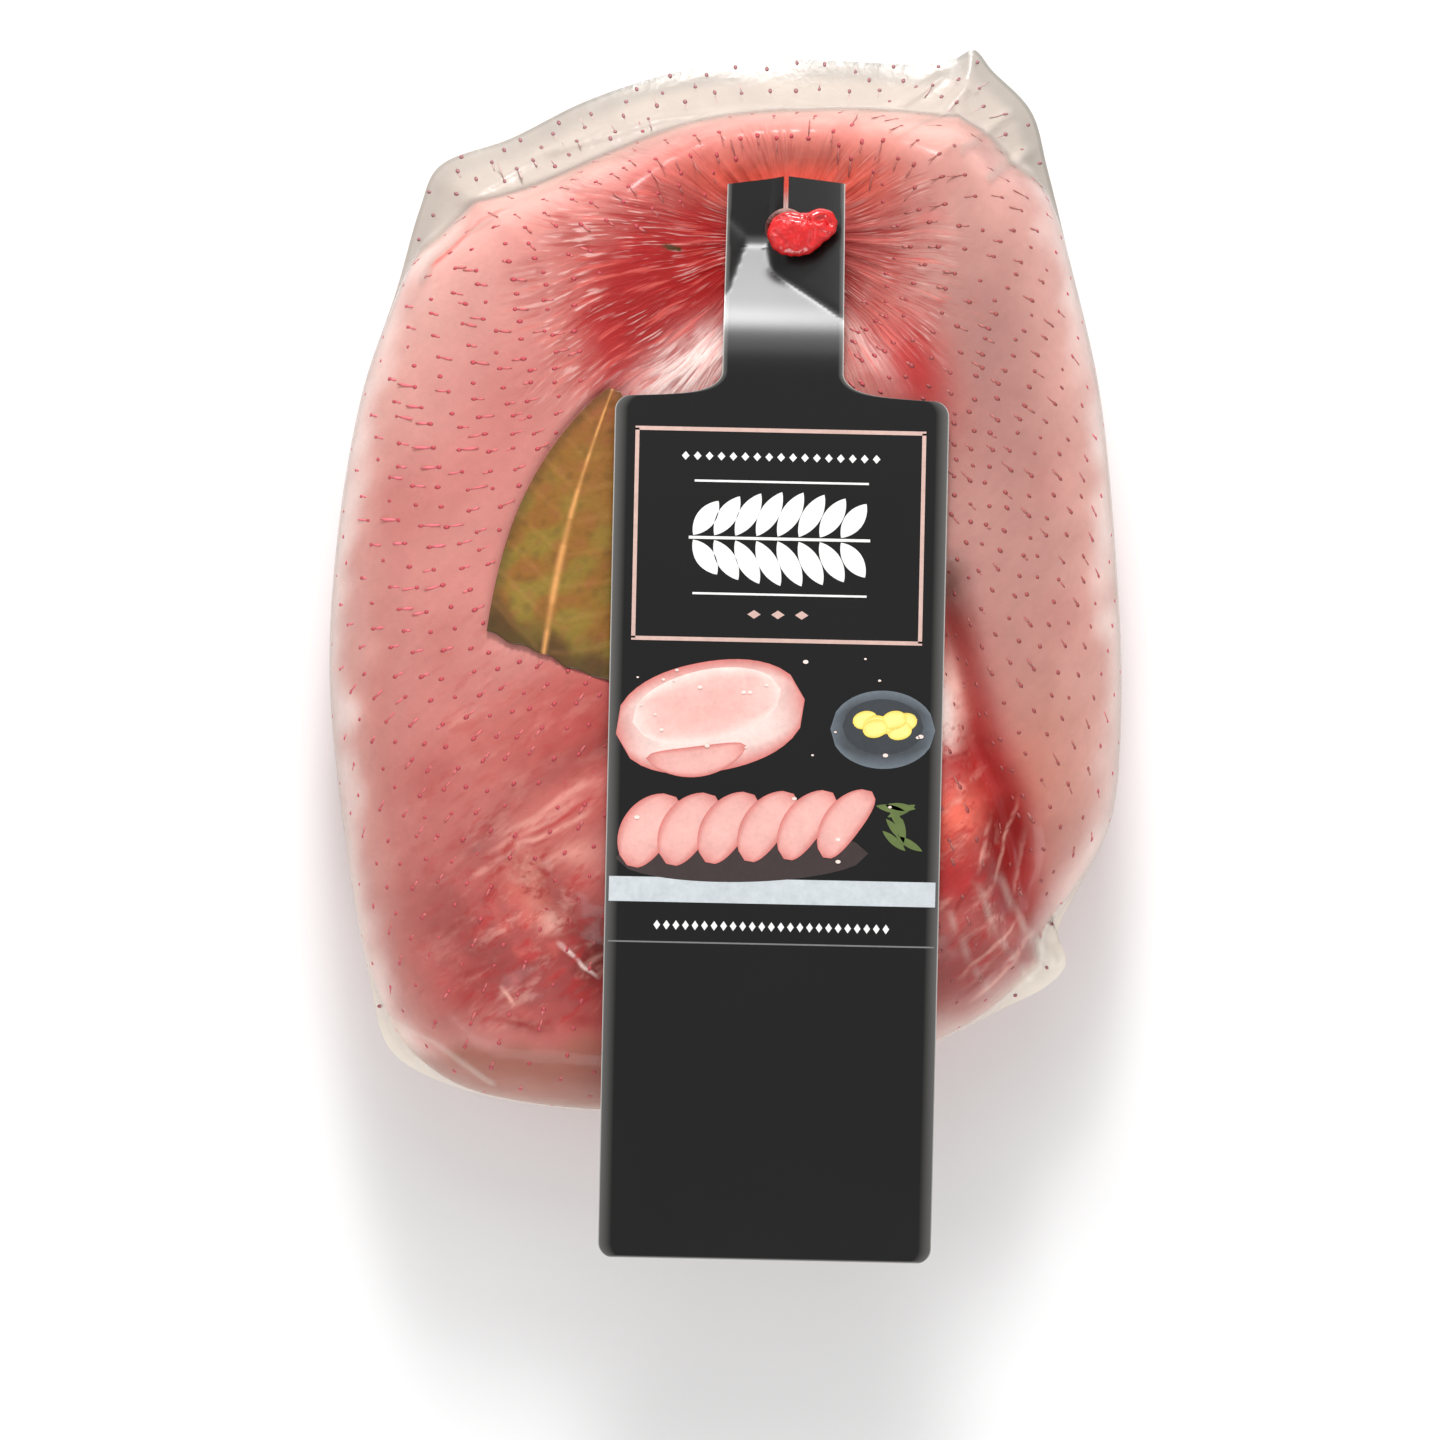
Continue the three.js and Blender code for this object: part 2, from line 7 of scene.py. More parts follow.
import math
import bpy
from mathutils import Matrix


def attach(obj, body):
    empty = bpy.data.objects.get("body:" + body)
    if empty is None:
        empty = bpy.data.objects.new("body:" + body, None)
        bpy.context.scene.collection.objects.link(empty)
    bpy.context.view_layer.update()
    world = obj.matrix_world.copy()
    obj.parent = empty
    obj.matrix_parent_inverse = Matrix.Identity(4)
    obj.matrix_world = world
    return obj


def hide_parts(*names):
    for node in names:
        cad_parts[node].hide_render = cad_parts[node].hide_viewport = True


bl_info = {
    "name": "Corned beef tongue pack",
    "version": (1, 0, 0),
    "blender": (4, 5, 0),
    "location": "View3D > Sidebar > Tongue pack",
    "description": "Builds a curled cured tongue in a clear casing with a leaf, a clip and a tag",
    "category": "Object",
}

import bpy
import numpy as np

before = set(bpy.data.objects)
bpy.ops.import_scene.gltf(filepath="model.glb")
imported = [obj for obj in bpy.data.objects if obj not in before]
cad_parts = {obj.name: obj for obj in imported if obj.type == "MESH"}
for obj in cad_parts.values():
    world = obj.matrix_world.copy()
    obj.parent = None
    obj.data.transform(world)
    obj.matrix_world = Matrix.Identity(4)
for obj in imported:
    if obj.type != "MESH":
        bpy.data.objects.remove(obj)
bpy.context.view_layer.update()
MM = 0.001


def srgb(red, green, blue):
    """A colour of 0 to 255 as the linear values that Blender's colour sockets take."""
    c = np.array([red, green, blue]) / 255
    return tuple(np.where(c <= 0.04045, c / 12.92, ((c + 0.055) / 1.055) ** 2.4).tolist())


# Form of the pack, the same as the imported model's

OUTLINE = np.array([
    (-66, 95), (-62, 104), (-46.3, 110.3), (-30, 118.5), (-12, 124.5), (6, 127.5), (24, 127.5),
    (42, 126.8), (50, 128), (54, 130), (58, 125.5), (66.5, 116.5), (70, 104), (75, 83), (81, 56),
    (84.5, 20), (85.8, -14), (83.5, -38), (76, -53.5), (72, -62.5), (74.2, -68.3), (70.5, -73),
    (60, -78.5), (45, -86), (24, -95), (-6, -100), (-36, -99.5), (-60, -94.5), (-72.5, -87),
    (-77, -72), (-82.5, -41), (-85.8, -6), (-84, 24), (-78.5, 55), (-71, 77.5),
])[::-1]
SEAM_HEIGHT = 25
SEAM_WAVE = 2
SHOULDER_WIDTH = 31
SHOULDER_ROUNDNESS = 2.1
HEEL_WIDTH = 25
HEEL_ROUNDNESS = 2
FILM_EDGE = 0.8
FILM_SLOPE = 0.6
FILM_BLEND = 3
# Empty film outside the meat: x, y, width, reach
FINS = [
    (-58, 108, 9.8, 19), (-34, 118, 11.1, 22), (-8, 128, 8.5, 24), (20, 132, 10.3, 24),
    (44, 132, 6.5, 20), (60, 120, 9.4, 17), (-74, -88, 3.2, 13), (73, -71, 4.4, 14),
]
FIN_FULL = 5
GATHER_X = 13.4
GATHER_Y = 88.5
GATHER_FLOOR = 43.5
GATHER_FLAT = 10
GATHER_REACH = 36
# Creases between folds of meat: route, depth, half width
CREASES = [
    ([(46, 12), (48.6, -5), (52, -20), (57.8, -33), (61, -44), (62, -56)], 6, 5),
    ([(-24, -23), (-39, -32), (-52, -45)], 2.5, 4.5),
    ([(-45, -51), (-35, -61), (-20, -69)], 5, 7),
    ([(-59, -62), (-48, -74), (-20, -78)], 3.5, 8),
    ([(-1, 44), (7, -50)], 3, 20),
]
NECK_DIP = (19, 71, 13, 3)
FOOT_FROM = -30
FOOT_LENGTH = 60
FOOT_DROP = 3
UNDERSIDE_MIDDLE = (0, 12)

# The leaf
LEAF_BASE = (-38.2, -2)
LEAF_TIP = (-23.6, 54)
LEAF_LEFT = 12.6
LEAF_RIGHT = 19
LEAF_BOW = 1.8
LEAF_SLANT = 0.15

# The tag
TAG_X = 8.2
TAG_Y = -129.2
TAG_LEAN = math.radians(1.2)
TAG_THICKNESS = 0.6
TAG_HALF = 35
TAG_CORNER = 3.2
TAG_SHOULDER = 181
TAG_RISE = 5.2
NECK_HALF = 12.7
NECK_TOP_HALF = 12.4
TAG_TOP = 227
TAG_PEAK = 1.8
TAG_HEIGHT = 58.6
TAG_CLIP_HEIGHT = 47.2
TAG_HOLE = 217.7
TAG_HOLE_RADIUS = 4.3
TAG_SLIT = 0.5


# Numbers that the shapes share

def smooth(a, b, value):
    """0 at a, 1 at b, with a flat start and end: 3t^2 - 2t^3."""
    t = np.clip((value - a) / (b - a), 0, 1)
    return t * t * (3 - 2 * t)


def lerp(a, b, t):
    """The value a share t of the way from a to b."""
    return a + (b - a) * t


def spot(x, y, cx, cy, rx, ry=None, turn=0):
    """A Gaussian bump of height 1 at (cx, cy), as wide as rx and ry along axes turned by turn."""
    c, s = math.cos(math.radians(turn)), math.sin(math.radians(turn))
    u = (x - cx) * c + (y - cy) * s
    v = (y - cy) * c - (x - cx) * s
    return np.exp(-((u / rx) ** 2) - (v / (ry or rx)) ** 2)


def smooth_max(a, b, blend):
    """The larger of a and b, rounded over where they are closer than blend."""
    h = np.maximum(blend - np.abs(a - b), 0) / blend
    return np.maximum(a, b) + h * h * blend / 4


def closed_curve(corners, steps):
    """A centripetal Catmull-Rom curve through the corners: a cubic for each side whose end slopes
    come from the neighbours, weighted by the square roots of the sides' lengths."""
    p0, p1, p2, p3 = (np.roll(corners, shift, axis=0)[:, None] for shift in (1, 0, -1, -2))
    k0, k1, k2 = (
        np.sqrt(np.linalg.norm(b - a, axis=2, keepdims=True))
        for a, b in ((p0, p1), (p1, p2), (p2, p3))
    )
    m1 = ((p1 - p0) / k0 - (p2 - p0) / (k0 + k1) + (p2 - p1) / k1) * k1
    m2 = ((p2 - p1) / k1 - (p3 - p1) / (k1 + k2) + (p3 - p2) / k2) * k1
    t = (np.arange(steps) / steps)[None, :, None]
    curve = p1 + m1 * t + (3 * (p2 - p1) - 2 * m1 - m2) * t**2 + (2 * (p1 - p2) + m1 + m2) * t**3
    return curve.reshape(-1, 2)


EDGE = closed_curve(OUTLINE.astype(float), 12)


def route_distance(x, y, route, closed=False):
    """Distance in plan to the nearest point of a polyline, over all its straight parts."""
    route = np.asarray(route, float)
    ends = np.roll(route, -1, axis=0) if closed else route[1:]
    least = np.full(np.shape(x), np.inf)
    for (ax, ay), (bx, by) in zip(route, ends):
        dx, dy = bx - ax, by - ay
        t = np.clip(((x - ax) * dx + (y - ay) * dy) / (dx * dx + dy * dy), 0, 1)
        least = np.minimum(least, np.hypot(x - ax - t * dx, y - ay - t * dy))
    return least


def fin_width(x, y):
    """Width of the empty film outside the meat: a sum of bumps at the top and the corners."""
    return sum(width * spot(x, y, cx, cy, reach) for cx, cy, width, reach in FINS)


def seam_height(x, y):
    """Height of the widest line round the pack, which waves three times round it."""
    return SEAM_HEIGHT + SEAM_WAVE * np.sin(3 * np.arctan2(y, x) + 1)


def roll(inside, width, roundness, fin):
    """How far the meat has risen: a quarter superellipse at the sides, a softer rise by a fin."""
    s = np.clip(inside / width, 0, 1)
    square = (1 - (1 - s) ** roundness) ** (1 / roundness)
    return lerp(square, 1 - (1 - s) ** 2.4, smooth(0, FIN_FULL, fin))


def angular_noise(angle, lowest, highest, count, seed):
    """A closed wavy line round a circle: sines of random whole frequencies and phases, -1 to 1."""
    rng = np.random.default_rng(seed)
    total = 0
    for n, phase, weight in zip(
        rng.integers(lowest, highest, count), rng.uniform(0, 7, count), rng.uniform(0.5, 1, count)
    ):
        total = total + weight * np.sin(n * angle + phase)
    return total / math.sqrt(count)


def plan_noise(x, y, wavelength, seed, count=14):
    """Smooth unevenness over the plan: plane waves in random directions near one wavelength."""
    rng = np.random.default_rng(seed)
    total = 0
    for _ in range(count):
        heading, phase = rng.uniform(0, math.pi), rng.uniform(0, 7)
        k = 2 * math.pi / (wavelength * rng.uniform(0.7, 1.5))
        total = total + np.sin(k * (x * math.cos(heading) + y * math.sin(heading)) + phase)
    return total / math.sqrt(count)


def pleat_waves(x, y):
    """Coarse and fine pleats of the gathered film from 0 to 1: powers of shifted sines of the
    angle round the gather. They bend a little everywhere and sweep round to the left below the
    neck."""
    r = np.hypot(x - GATHER_X, y - GATHER_Y)
    angle = np.arctan2(y - GATHER_Y, x - GATHER_X)
    swept = smooth(-2.9, -2.3, angle) * smooth(-1.2, -1.8, angle)
    bent = angle + 0.011 * swept * (r - 20) + 0.02 * np.sin(r / 3.1) \
        + 0.014 * np.sin(r / 5 + 7 * angle)
    coarse = (0.5 + 0.5 * np.sin(29 * bent + 2.2 * np.sin(3 * angle) + np.sin(r / 9))) ** 2
    return r, angle, coarse, 0.5 + 0.5 * np.sin(67 * bent + 3 * np.sin(5 * angle + 1))


def pleat_height(x, y):
    """The pleats as sharp ridges that fade in and out with the radius."""
    r, angle, coarse, fine = pleat_waves(x, y)
    patchy = 0.75 + 0.35 * angular_noise(angle, 3, 9, 4, 5)
    envelope = np.exp(-(((r - 17) / 12) ** 2))
    fine_envelope = np.exp(-(((r - 25) / 15) ** 2))
    return envelope * patchy * 1.2 * coarse, fine_envelope * patchy * 0.3 * fine**3


def crest_height(x, y):
    """Height over a point before the pack rolls over to its sides: the crown, less the funnel at
    the gather, the creases between folds and the fall towards the lower end."""
    r = np.hypot(x - GATHER_X, y - GATHER_Y)
    crown = 57.0
    height = crown - (crown - GATHER_FLOOR) * (1 - smooth(GATHER_FLAT, GATHER_REACH, r))
    height = height - NECK_DIP[3] * spot(x, y, *NECK_DIP[:3])
    height = height - FOOT_DROP * smooth(FOOT_FROM, FOOT_FROM - FOOT_LENGTH, y)
    for route, depth, width in CREASES:
        height = height - depth * np.exp(-((route_distance(x, y, route) / width) ** 2))
    return height


def lump_height(x, y):
    """Lumps of fat and flesh beside the creases: bumps at chosen places and fine unevenness."""
    rise = 1.4 * spot(x, y, 47.5, -14, 4.5, 9, 8)
    rise = rise + 1.5 * spot(x, y, 48.5, -37, 7, 8)
    rise = rise + 1.2 * spot(x, y, -41, -46, 6, 5)
    rise = rise + 1.3 * spot(x, y, -33, -52, 5, 6)
    rise = rise + 0.9 * spot(x, y, -50, -62, 8, 6)
    uneven = spot(x, y, -38, -60, 26, 20) + spot(x, y, 54, -45, 13, 30)
    return rise + 0.45 * uneven * plan_noise(x, y, 7, 21) + 0.35 * plan_noise(x, y, 30, 8)


# Folds of the film itself: route, height, half width
FILM_FOLDS = [
    ([(-64.5, 78), (-62, 83.5), (-56, 88), (-50, 91)], 1.2, 1.3),
    ([(56, 99), (61, 104), (67, 108)], 1.3, 1.2),
    ([(50, 104), (57, 112), (62, 116)], 0.8, 1.0),
    ([(36, 108), (46, 114), (52, 121)], 0.8, 1.1),
    ([(44, 104), (52, 106.5), (60, 107)], 0.7, 0.9),
    ([(24, 113), (38, 117), (47, 124)], 0.6, 1.1),
    ([(-36, 107), (-14, 114), (12, 116)], 0.5, 1.2),
    ([(-56, 96), (-40, 106), (-26, 112)], 0.5, 1.1),
    ([(-26, -21), (-40, -32), (-58, -52)], 0.4, 1.1),
    ([(-26, -27), (-42, -41), (-60, -61)], 0.3, 0.9),
    ([(58, -49), (64, -60), (72, -69)], 0.9, 1.1),
    ([(53, -50), (58, -62), (66, -72)], 0.8, 0.9),
    ([(47, -56), (52, -67), (58, -76)], 0.7, 0.9),
    ([(-72, -80), (-62, -84), (-50, -93)], 0.8, 1.2),
]


def film_folds(x, y):
    """Thin ridges of slack film along chosen routes, each with a Gaussian section."""
    rise = 0
    for route, height, width in FILM_FOLDS:
        rise = rise + height * np.exp(-((route_distance(x, y, route) / width) ** 2))
    return rise


class Field:
    """The pack's heights over an array of points in plan, worked out once and shared."""

    def __init__(self, x, y):
        self.x, self.y = x, y
        self.depth = route_distance(x, y, EDGE, closed=True)
        self.fin = fin_width(x, y)
        self.seam = seam_height(x, y)
        inside = self.depth - self.fin
        width = SHOULDER_WIDTH - 16 * spot(x, y, 10, 134, 42)
        self.rise = roll(inside, width, SHOULDER_ROUNDNESS, self.fin)
        self.sag = roll(inside, HEEL_WIDTH, HEEL_ROUNDNESS, self.fin)
        self.slack = FILM_EDGE + FILM_SLOPE * np.minimum(self.depth, self.fin + 4)
        self.inside = inside

    def film_top(self):
        """The larger of the meat's height and the empty film's, with pleats and folds on top."""
        x, y = self.x, self.y
        coarse, fine = pleat_height(x, y)
        crest = crest_height(x, y) + coarse + fine - 0.6
        meat = (crest - self.seam) * self.rise
        top = self.seam + smooth_max(meat, self.slack, FILM_BLEND)
        ease = smooth(0, 6, self.depth)
        return top + ease * (0.8 * lump_height(x, y) + film_folds(x, y))

    def film_under(self):
        """The underside: the seam's height less the larger of the meat and the empty film."""
        meat = self.seam * self.sag
        return np.maximum(self.seam - smooth_max(meat, self.slack, FILM_BLEND), 0)

    def meat_top(self):
        """The meat under the film: the same form with no pleats or folds, a little lower, deeper
        in the creases and with a shallow bed under the leaf."""
        x, y = self.x, self.y
        coarse, _ = pleat_height(x, y)
        crest = crest_height(x, y) + 0.25 * coarse - 1.1
        top = self.seam + (crest - self.seam) * self.rise
        bed = 0.9 * leaf_mask(x, y)
        deeper = 1.2 * np.exp(-((route_distance(x, y, CREASES[0][0]) / 2.2) ** 2))
        return top + smooth(0, 6, self.depth) * 0.8 * lump_height(x, y) - bed - deeper

    def meat_under(self):
        return np.maximum(self.seam * (1 - self.sag), 0) + 0.5


def leaf_frame():
    """The leaf's base point, its unit length direction, its side direction and its length."""
    base, tip = np.array(LEAF_BASE), np.array(LEAF_TIP)
    length = float(np.linalg.norm(tip - base))
    along = (tip - base) / length
    return base, along, np.array([along[1], -along[0]]), length


def leaf_share(v):
    """Share of the leaf's full width at v from its torn edge, 0, to its tip, 1."""
    return (1 - (0.985 * v) ** 2.5) ** 0.8


def leaf_inset(across, v):
    """How far inside the leaf's side a point is, from its distance across the midrib."""
    return np.where(across < 0, LEAF_LEFT, LEAF_RIGHT) * leaf_share(v) - np.abs(across)


def leaf_mask(x, y):
    """1 on the leaf and 0 more than 2 mm outside it."""
    base, along, side, length = leaf_frame()
    s = ((x - base[0]) * along[0] + (y - base[1]) * along[1]) / length
    bow = LEAF_BOW * np.sin(math.pi * np.clip(s, 0, 1))
    across = (x - base[0]) * side[0] + (y - base[1]) * side[1] + bow
    v = np.clip(s + LEAF_SLANT * across * (1 - s) / length, 0, 1)
    beyond = np.maximum(-leaf_inset(across, v), np.maximum(-s, s - 1) * length)
    return 1 - smooth(0, 2, beyond)


# Meshes from arrays

def put_mesh(name, points, corners, sizes, tones=None, masks=None, smooth_shading=True):
    """An object of that name from arrays: points in millimetres, the corners of all faces in one
    row, how many corners each face has, colours for the points and named values for them."""
    mesh = bpy.data.meshes.new(name)
    mesh.vertices.add(len(points))
    mesh.vertices.foreach_set("co", (np.asarray(points, float) * MM).ravel())
    mesh.loops.add(len(corners))
    mesh.loops.foreach_set("vertex_index", np.asarray(corners, np.int32))
    mesh.polygons.add(len(sizes))
    starts = np.concatenate([[0], np.cumsum(sizes)[:-1]])
    mesh.polygons.foreach_set("loop_start", starts.astype(np.int32))
    mesh.update(calc_edges=True)
    mesh.polygons.foreach_set("use_smooth", np.full(len(sizes), smooth_shading))
    if tones is not None:
        layer = mesh.attributes.new("tone", "FLOAT_COLOR", "POINT")
        rgba = np.ones((len(points), 4))
        rgba[:, :3] = tones
        layer.data.foreach_set("color", rgba.ravel())
    for key, values in (masks or {}).items():
        layer = mesh.attributes.new(key, "FLOAT", "POINT")
        layer.data.foreach_set("value", np.asarray(values, float).ravel())
    mesh.validate()
    piece = bpy.data.objects.new(name, mesh)
    bpy.context.scene.collection.objects.link(piece)
    return piece


def ring_faces(rings, around):
    """Corners and sizes of the faces of a closed surface: a pole, rings of equal length, and a
    pole. The points are numbered pole, rings, pole."""
    c = np.arange(around)
    d = (c + 1) % around
    last = 1 + rings * around
    first = np.stack([np.zeros_like(c), 1 + c, 1 + d], axis=1)
    a = 1 + (np.arange(rings - 1) * around)[:, None]
    quads = np.stack([a + c, a + around + c, a + around + d, a + d], axis=2).reshape(-1, 4)
    end = 1 + (rings - 1) * around
    final = np.stack([end + c, np.full_like(c, last), end + d], axis=1)
    corners = np.concatenate([first.ravel(), quads.ravel(), final.ravel()])
    sizes = np.concatenate([np.full(around, 3), np.full(len(quads), 4), np.full(around, 3)])
    return corners, sizes


def column_edge(count):
    """Outline points for the columns, spaced partly by angle round the gather and partly by the
    outline's length, so that the gather is as finely divided as the sides."""
    nxt = np.roll(EDGE, -1, axis=0)
    centre = np.array([GATHER_X, GATHER_Y])
    a, b = EDGE - centre, nxt - centre
    turn = np.abs(np.arctan2(a[:, 0] * b[:, 1] - a[:, 1] * b[:, 0], (a * b).sum(1)))
    length = np.linalg.norm(nxt - EDGE, axis=1)
    share = 0.45 * turn / turn.sum() + 0.55 * length / length.sum()
    passed = np.concatenate([[0], np.cumsum(share)])
    wanted = np.arange(count) / count
    x = np.interp(wanted, passed, np.append(EDGE[:, 0], EDGE[0, 0]))
    y = np.interp(wanted, passed, np.append(EDGE[:, 1], EDGE[0, 1]))
    # no column may overtake the next where the outline runs towards the gather
    heading = np.unwrap(np.arctan2(y - GATHER_Y, x - GATHER_X))
    sign = np.sign(heading[-1] - heading[0])
    order = 1e-4 * np.arange(count)
    heading = sign * (np.maximum.accumulate(sign * heading - order) + order)
    reach = np.hypot(x - GATHER_X, y - GATHER_Y)
    return GATHER_X + reach * np.cos(heading), GATHER_Y + reach * np.sin(heading)


def crest_steps(count):
    """Steps from the gather to the outline, closer together towards the outline."""
    u = np.linspace(0, 1, count + 1)
    return 0.12 * u + 0.88 * np.sin(math.pi / 2 * u)


COLUMNS = 540
# Rings of the gathered tail from its tip down: half width, half depth, height
TAIL_RINGS = [
    (1.0, 0.36, 56.1), (1.2, 0.4, 55.4), (1.2, 0.4, 54.2), (1.2, 0.5, 53), (1.5, 0.8, 51.6),
    (2.0, 1.2, 50), (2.4, 1.6, 48.4), (2.8, 2.0, 47), (3.3, 2.8, 45.9), (3.9, 3.6, 45.0),
]


def under_rings(x_edge, y_edge, count):
    """Plan points of the underside's rings, from the outline in to its middle."""
    t = np.cos(math.pi / 2 * np.arange(count) / count)[:, None]
    return lerp(UNDERSIDE_MIDDLE[0], x_edge, t), lerp(UNDERSIDE_MIDDLE[1], y_edge, t)


def film_surface():
    """The casing as one closed surface. Rings run from the tail's tip down to the gather's floor,
    out over the pleats and the crest to the outline, and in again over the underside."""
    ex, ey = column_edge(COLUMNS)
    angle = np.arctan2(ey - GATHER_Y, ex - GATHER_X)
    reach = np.hypot(ex - GATHER_X, ey - GATHER_Y)
    tail = []
    for rx, ry, z in TAIL_RINGS:
        flute = 1 + 0.1 * np.sin(9 * angle + z)
        x = GATHER_X + rx * flute * np.cos(angle)
        tail.append(np.stack([x, GATHER_Y + ry * flute * np.sin(angle), np.full_like(x, z)], 1))
    inner = np.linspace(5.2, 24, 23)[:-1, None] / reach
    outer = lerp(24 / reach, 1, crest_steps(108)[:, None])
    t = np.concatenate([inner, outer])
    x, y = lerp(GATHER_X, ex, t), lerp(GATHER_Y, ey, t)
    field = Field(x, y)
    top = np.stack([x, y, field.film_top()], axis=2)
    ux, uy = under_rings(ex, ey, 34)
    under = Field(ux, uy)
    low = np.stack([ux, uy, under.film_under()], axis=2)
    points = np.concatenate([
        [[GATHER_X, GATHER_Y, 56.4]], np.concatenate(tail),
        top.reshape(-1, 3), low.reshape(-1, 3), [[*UNDERSIDE_MIDDLE, 0]],
    ])
    corners, sizes = ring_faces(len(tail) + len(t) + len(ux), COLUMNS)
    haze = np.concatenate([
        [0.9], np.full(len(tail) * COLUMNS, 0.9), film_haze(field).ravel(),
        under_haze(under).ravel(), [0.1],
    ])
    brine = np.zeros(len(haze))
    brine[:1 + len(tail) * COLUMNS] = 1
    # painted shade: the film greyed past the top end and along its edge
    grey = np.concatenate([np.zeros(1 + len(tail) * COLUMNS), film_painted_shade(field).ravel(),
                           0.5 * film_painted_shade(under).ravel(), [0]])
    # painted light: the film made lighter towards the lower end, where the lamps leave it dim
    cream = smooth(-30, -65, np.asarray(points)[:, 1])
    return points, corners, sizes, {"haze": haze, "brine": brine, "cream": cream, "grey": grey}


def film_painted_shade(field):
    """How much painted shade greys the film: the slack film past the top end, most along its
    edge.
    """
    edge = 0.4 * smooth(6, 2.5, field.depth) + 0.5 * smooth(1, 0.4, field.depth)
    return np.clip(smooth(30, 70, field.y) * (0.25 + edge * lerp(0.5, 1, smooth(-60, -10, field.x))), 0, 1)


def film_haze(field):
    """How milky the film is: clear where it lies on meat, milky where it is empty, on the ridges
    of the pleats and folds, and a little along the sides. On the pleats' ridges the whiteness is
    partly painted highlight, and along the sides it is a painted sheen."""
    x, y = field.x, field.y
    coarse, _ = pleat_height(x, y)
    r = np.hypot(x - GATHER_X, y - GATHER_Y)
    fin = smooth(0.5, 4, fin_width(x, y))
    empty = 1 - smooth(lerp(-1.5, 0.5, fin), lerp(2.0, 5.5, fin), field.inside)
    haze = 0.02 + lerp(0.55, 0.88, smooth(-60, 40, y)) * empty * lerp(0.55, 1, fin)
    # whiter along the sides: a painted sheen where the film turns away
    haze = haze + 0.1 * (1 - smooth(0, 12, field.depth)) + 0.2 * (1 - smooth(0, 3.5, field.depth))
    # whiter pleat ridges round the gather, most beside the neck: milky film and a painted highlight
    near = smooth(4, 12, r) * (1 - smooth(26, 44, r))
    ridge_glint = 0.4 + 1.6 * spot(x, y, -8, 60, 11, 8, 30) + 0.8 * spot(x, y, 34, 66, 8, 13)
    haze = haze + near * ridge_glint * 0.08 * smooth(0.35, 1.0, coarse)
    haze = haze + 0.25 * smooth(0.3, 1.0, film_folds(x, y))
    return np.clip(haze, 0, 0.9)


def under_haze(field):
    """The same on the underside, without pleats."""
    fin = smooth(0.5, 4, field.fin)
    return 0.02 + lerp(0.25, 0.6, fin) * (1 - smooth(-1.5, 2.5, field.inside))


def meat_edge(ex, ey, centre):
    """Where each column from a centre to the outline leaves the meat, as a share of its length:
    the first of 160 steps at which the distance to the outline is under the fin's width."""
    t = np.linspace(0.55, 1, 160)[:, None]
    x, y = lerp(centre[0], ex, t), lerp(centre[1], ey, t)
    inside = route_distance(x, y, EDGE, closed=True) - fin_width(x, y) - 0.7
    crossed = np.argmax(inside <= 0, axis=0)
    crossed[~(inside <= 0).any(axis=0)] = len(t) - 1
    before = np.maximum(crossed - 1, 0)
    columns = np.arange(len(ex))
    a, b = inside[before, columns], inside[crossed, columns]
    share = np.clip(a / np.maximum(a - b, 1e-9), 0, 1)
    return lerp(t[before, 0], t[crossed, 0], share)


def meat_surface(palette):
    """The meat as one closed surface: rings from under the gather out to the meat's own edge and
    in again over the underside, with a colour for each point."""
    ex, ey = column_edge(COLUMNS)
    reach = np.hypot(ex - GATHER_X, ey - GATHER_Y)
    edge = meat_edge(ex, ey, (GATHER_X, GATHER_Y))
    mx, my = lerp(GATHER_X, ex, edge), lerp(GATHER_Y, ey, edge)
    inner = np.linspace(1.5, 24, 20)[:-1, None] / reach
    outer = lerp(24 / reach, edge, crest_steps(108)[:, None])
    t = np.concatenate([inner, outer])
    x, y = lerp(GATHER_X, ex, t), lerp(GATHER_Y, ey, t)
    field = Field(x, y)
    ux, uy = under_rings(mx, my, 34)
    under = Field(ux, uy)
    top = np.stack([x, y, field.meat_top()], axis=2)
    low = np.stack([ux, uy, under.meat_under()], axis=2)
    first = Field(np.array([GATHER_X]), np.array([GATHER_Y])).meat_top()[0]
    points = np.concatenate([
        [[GATHER_X, GATHER_Y, first]], top.reshape(-1, 3), low.reshape(-1, 3),
        [[*UNDERSIDE_MIDDLE, 0.5]],
    ])
    corners, sizes = ring_faces(len(t) + len(ux), COLUMNS)
    tones = np.concatenate([
        [palette["flesh"]], meat_tone(field, palette).reshape(-1, 3),
        under_tone(under, palette).reshape(-1, 3), [palette["skin"]],
    ])
    raw = np.concatenate([[0], raw_share(field).ravel(), np.zeros(ux.size + 1)])
    pleats = np.concatenate([[1], pleat_share(x, y).ravel(), np.zeros(ux.size + 1)])
    return points, corners, sizes, tones, {"raw": raw, "pleats": pleats}


def blend(base, colour, mask):
    """The base colours with another laid over them where the mask is 1."""
    mask = np.clip(mask, 0, 1)[..., None]
    return base * (1 - mask) + np.asarray(colour) * mask


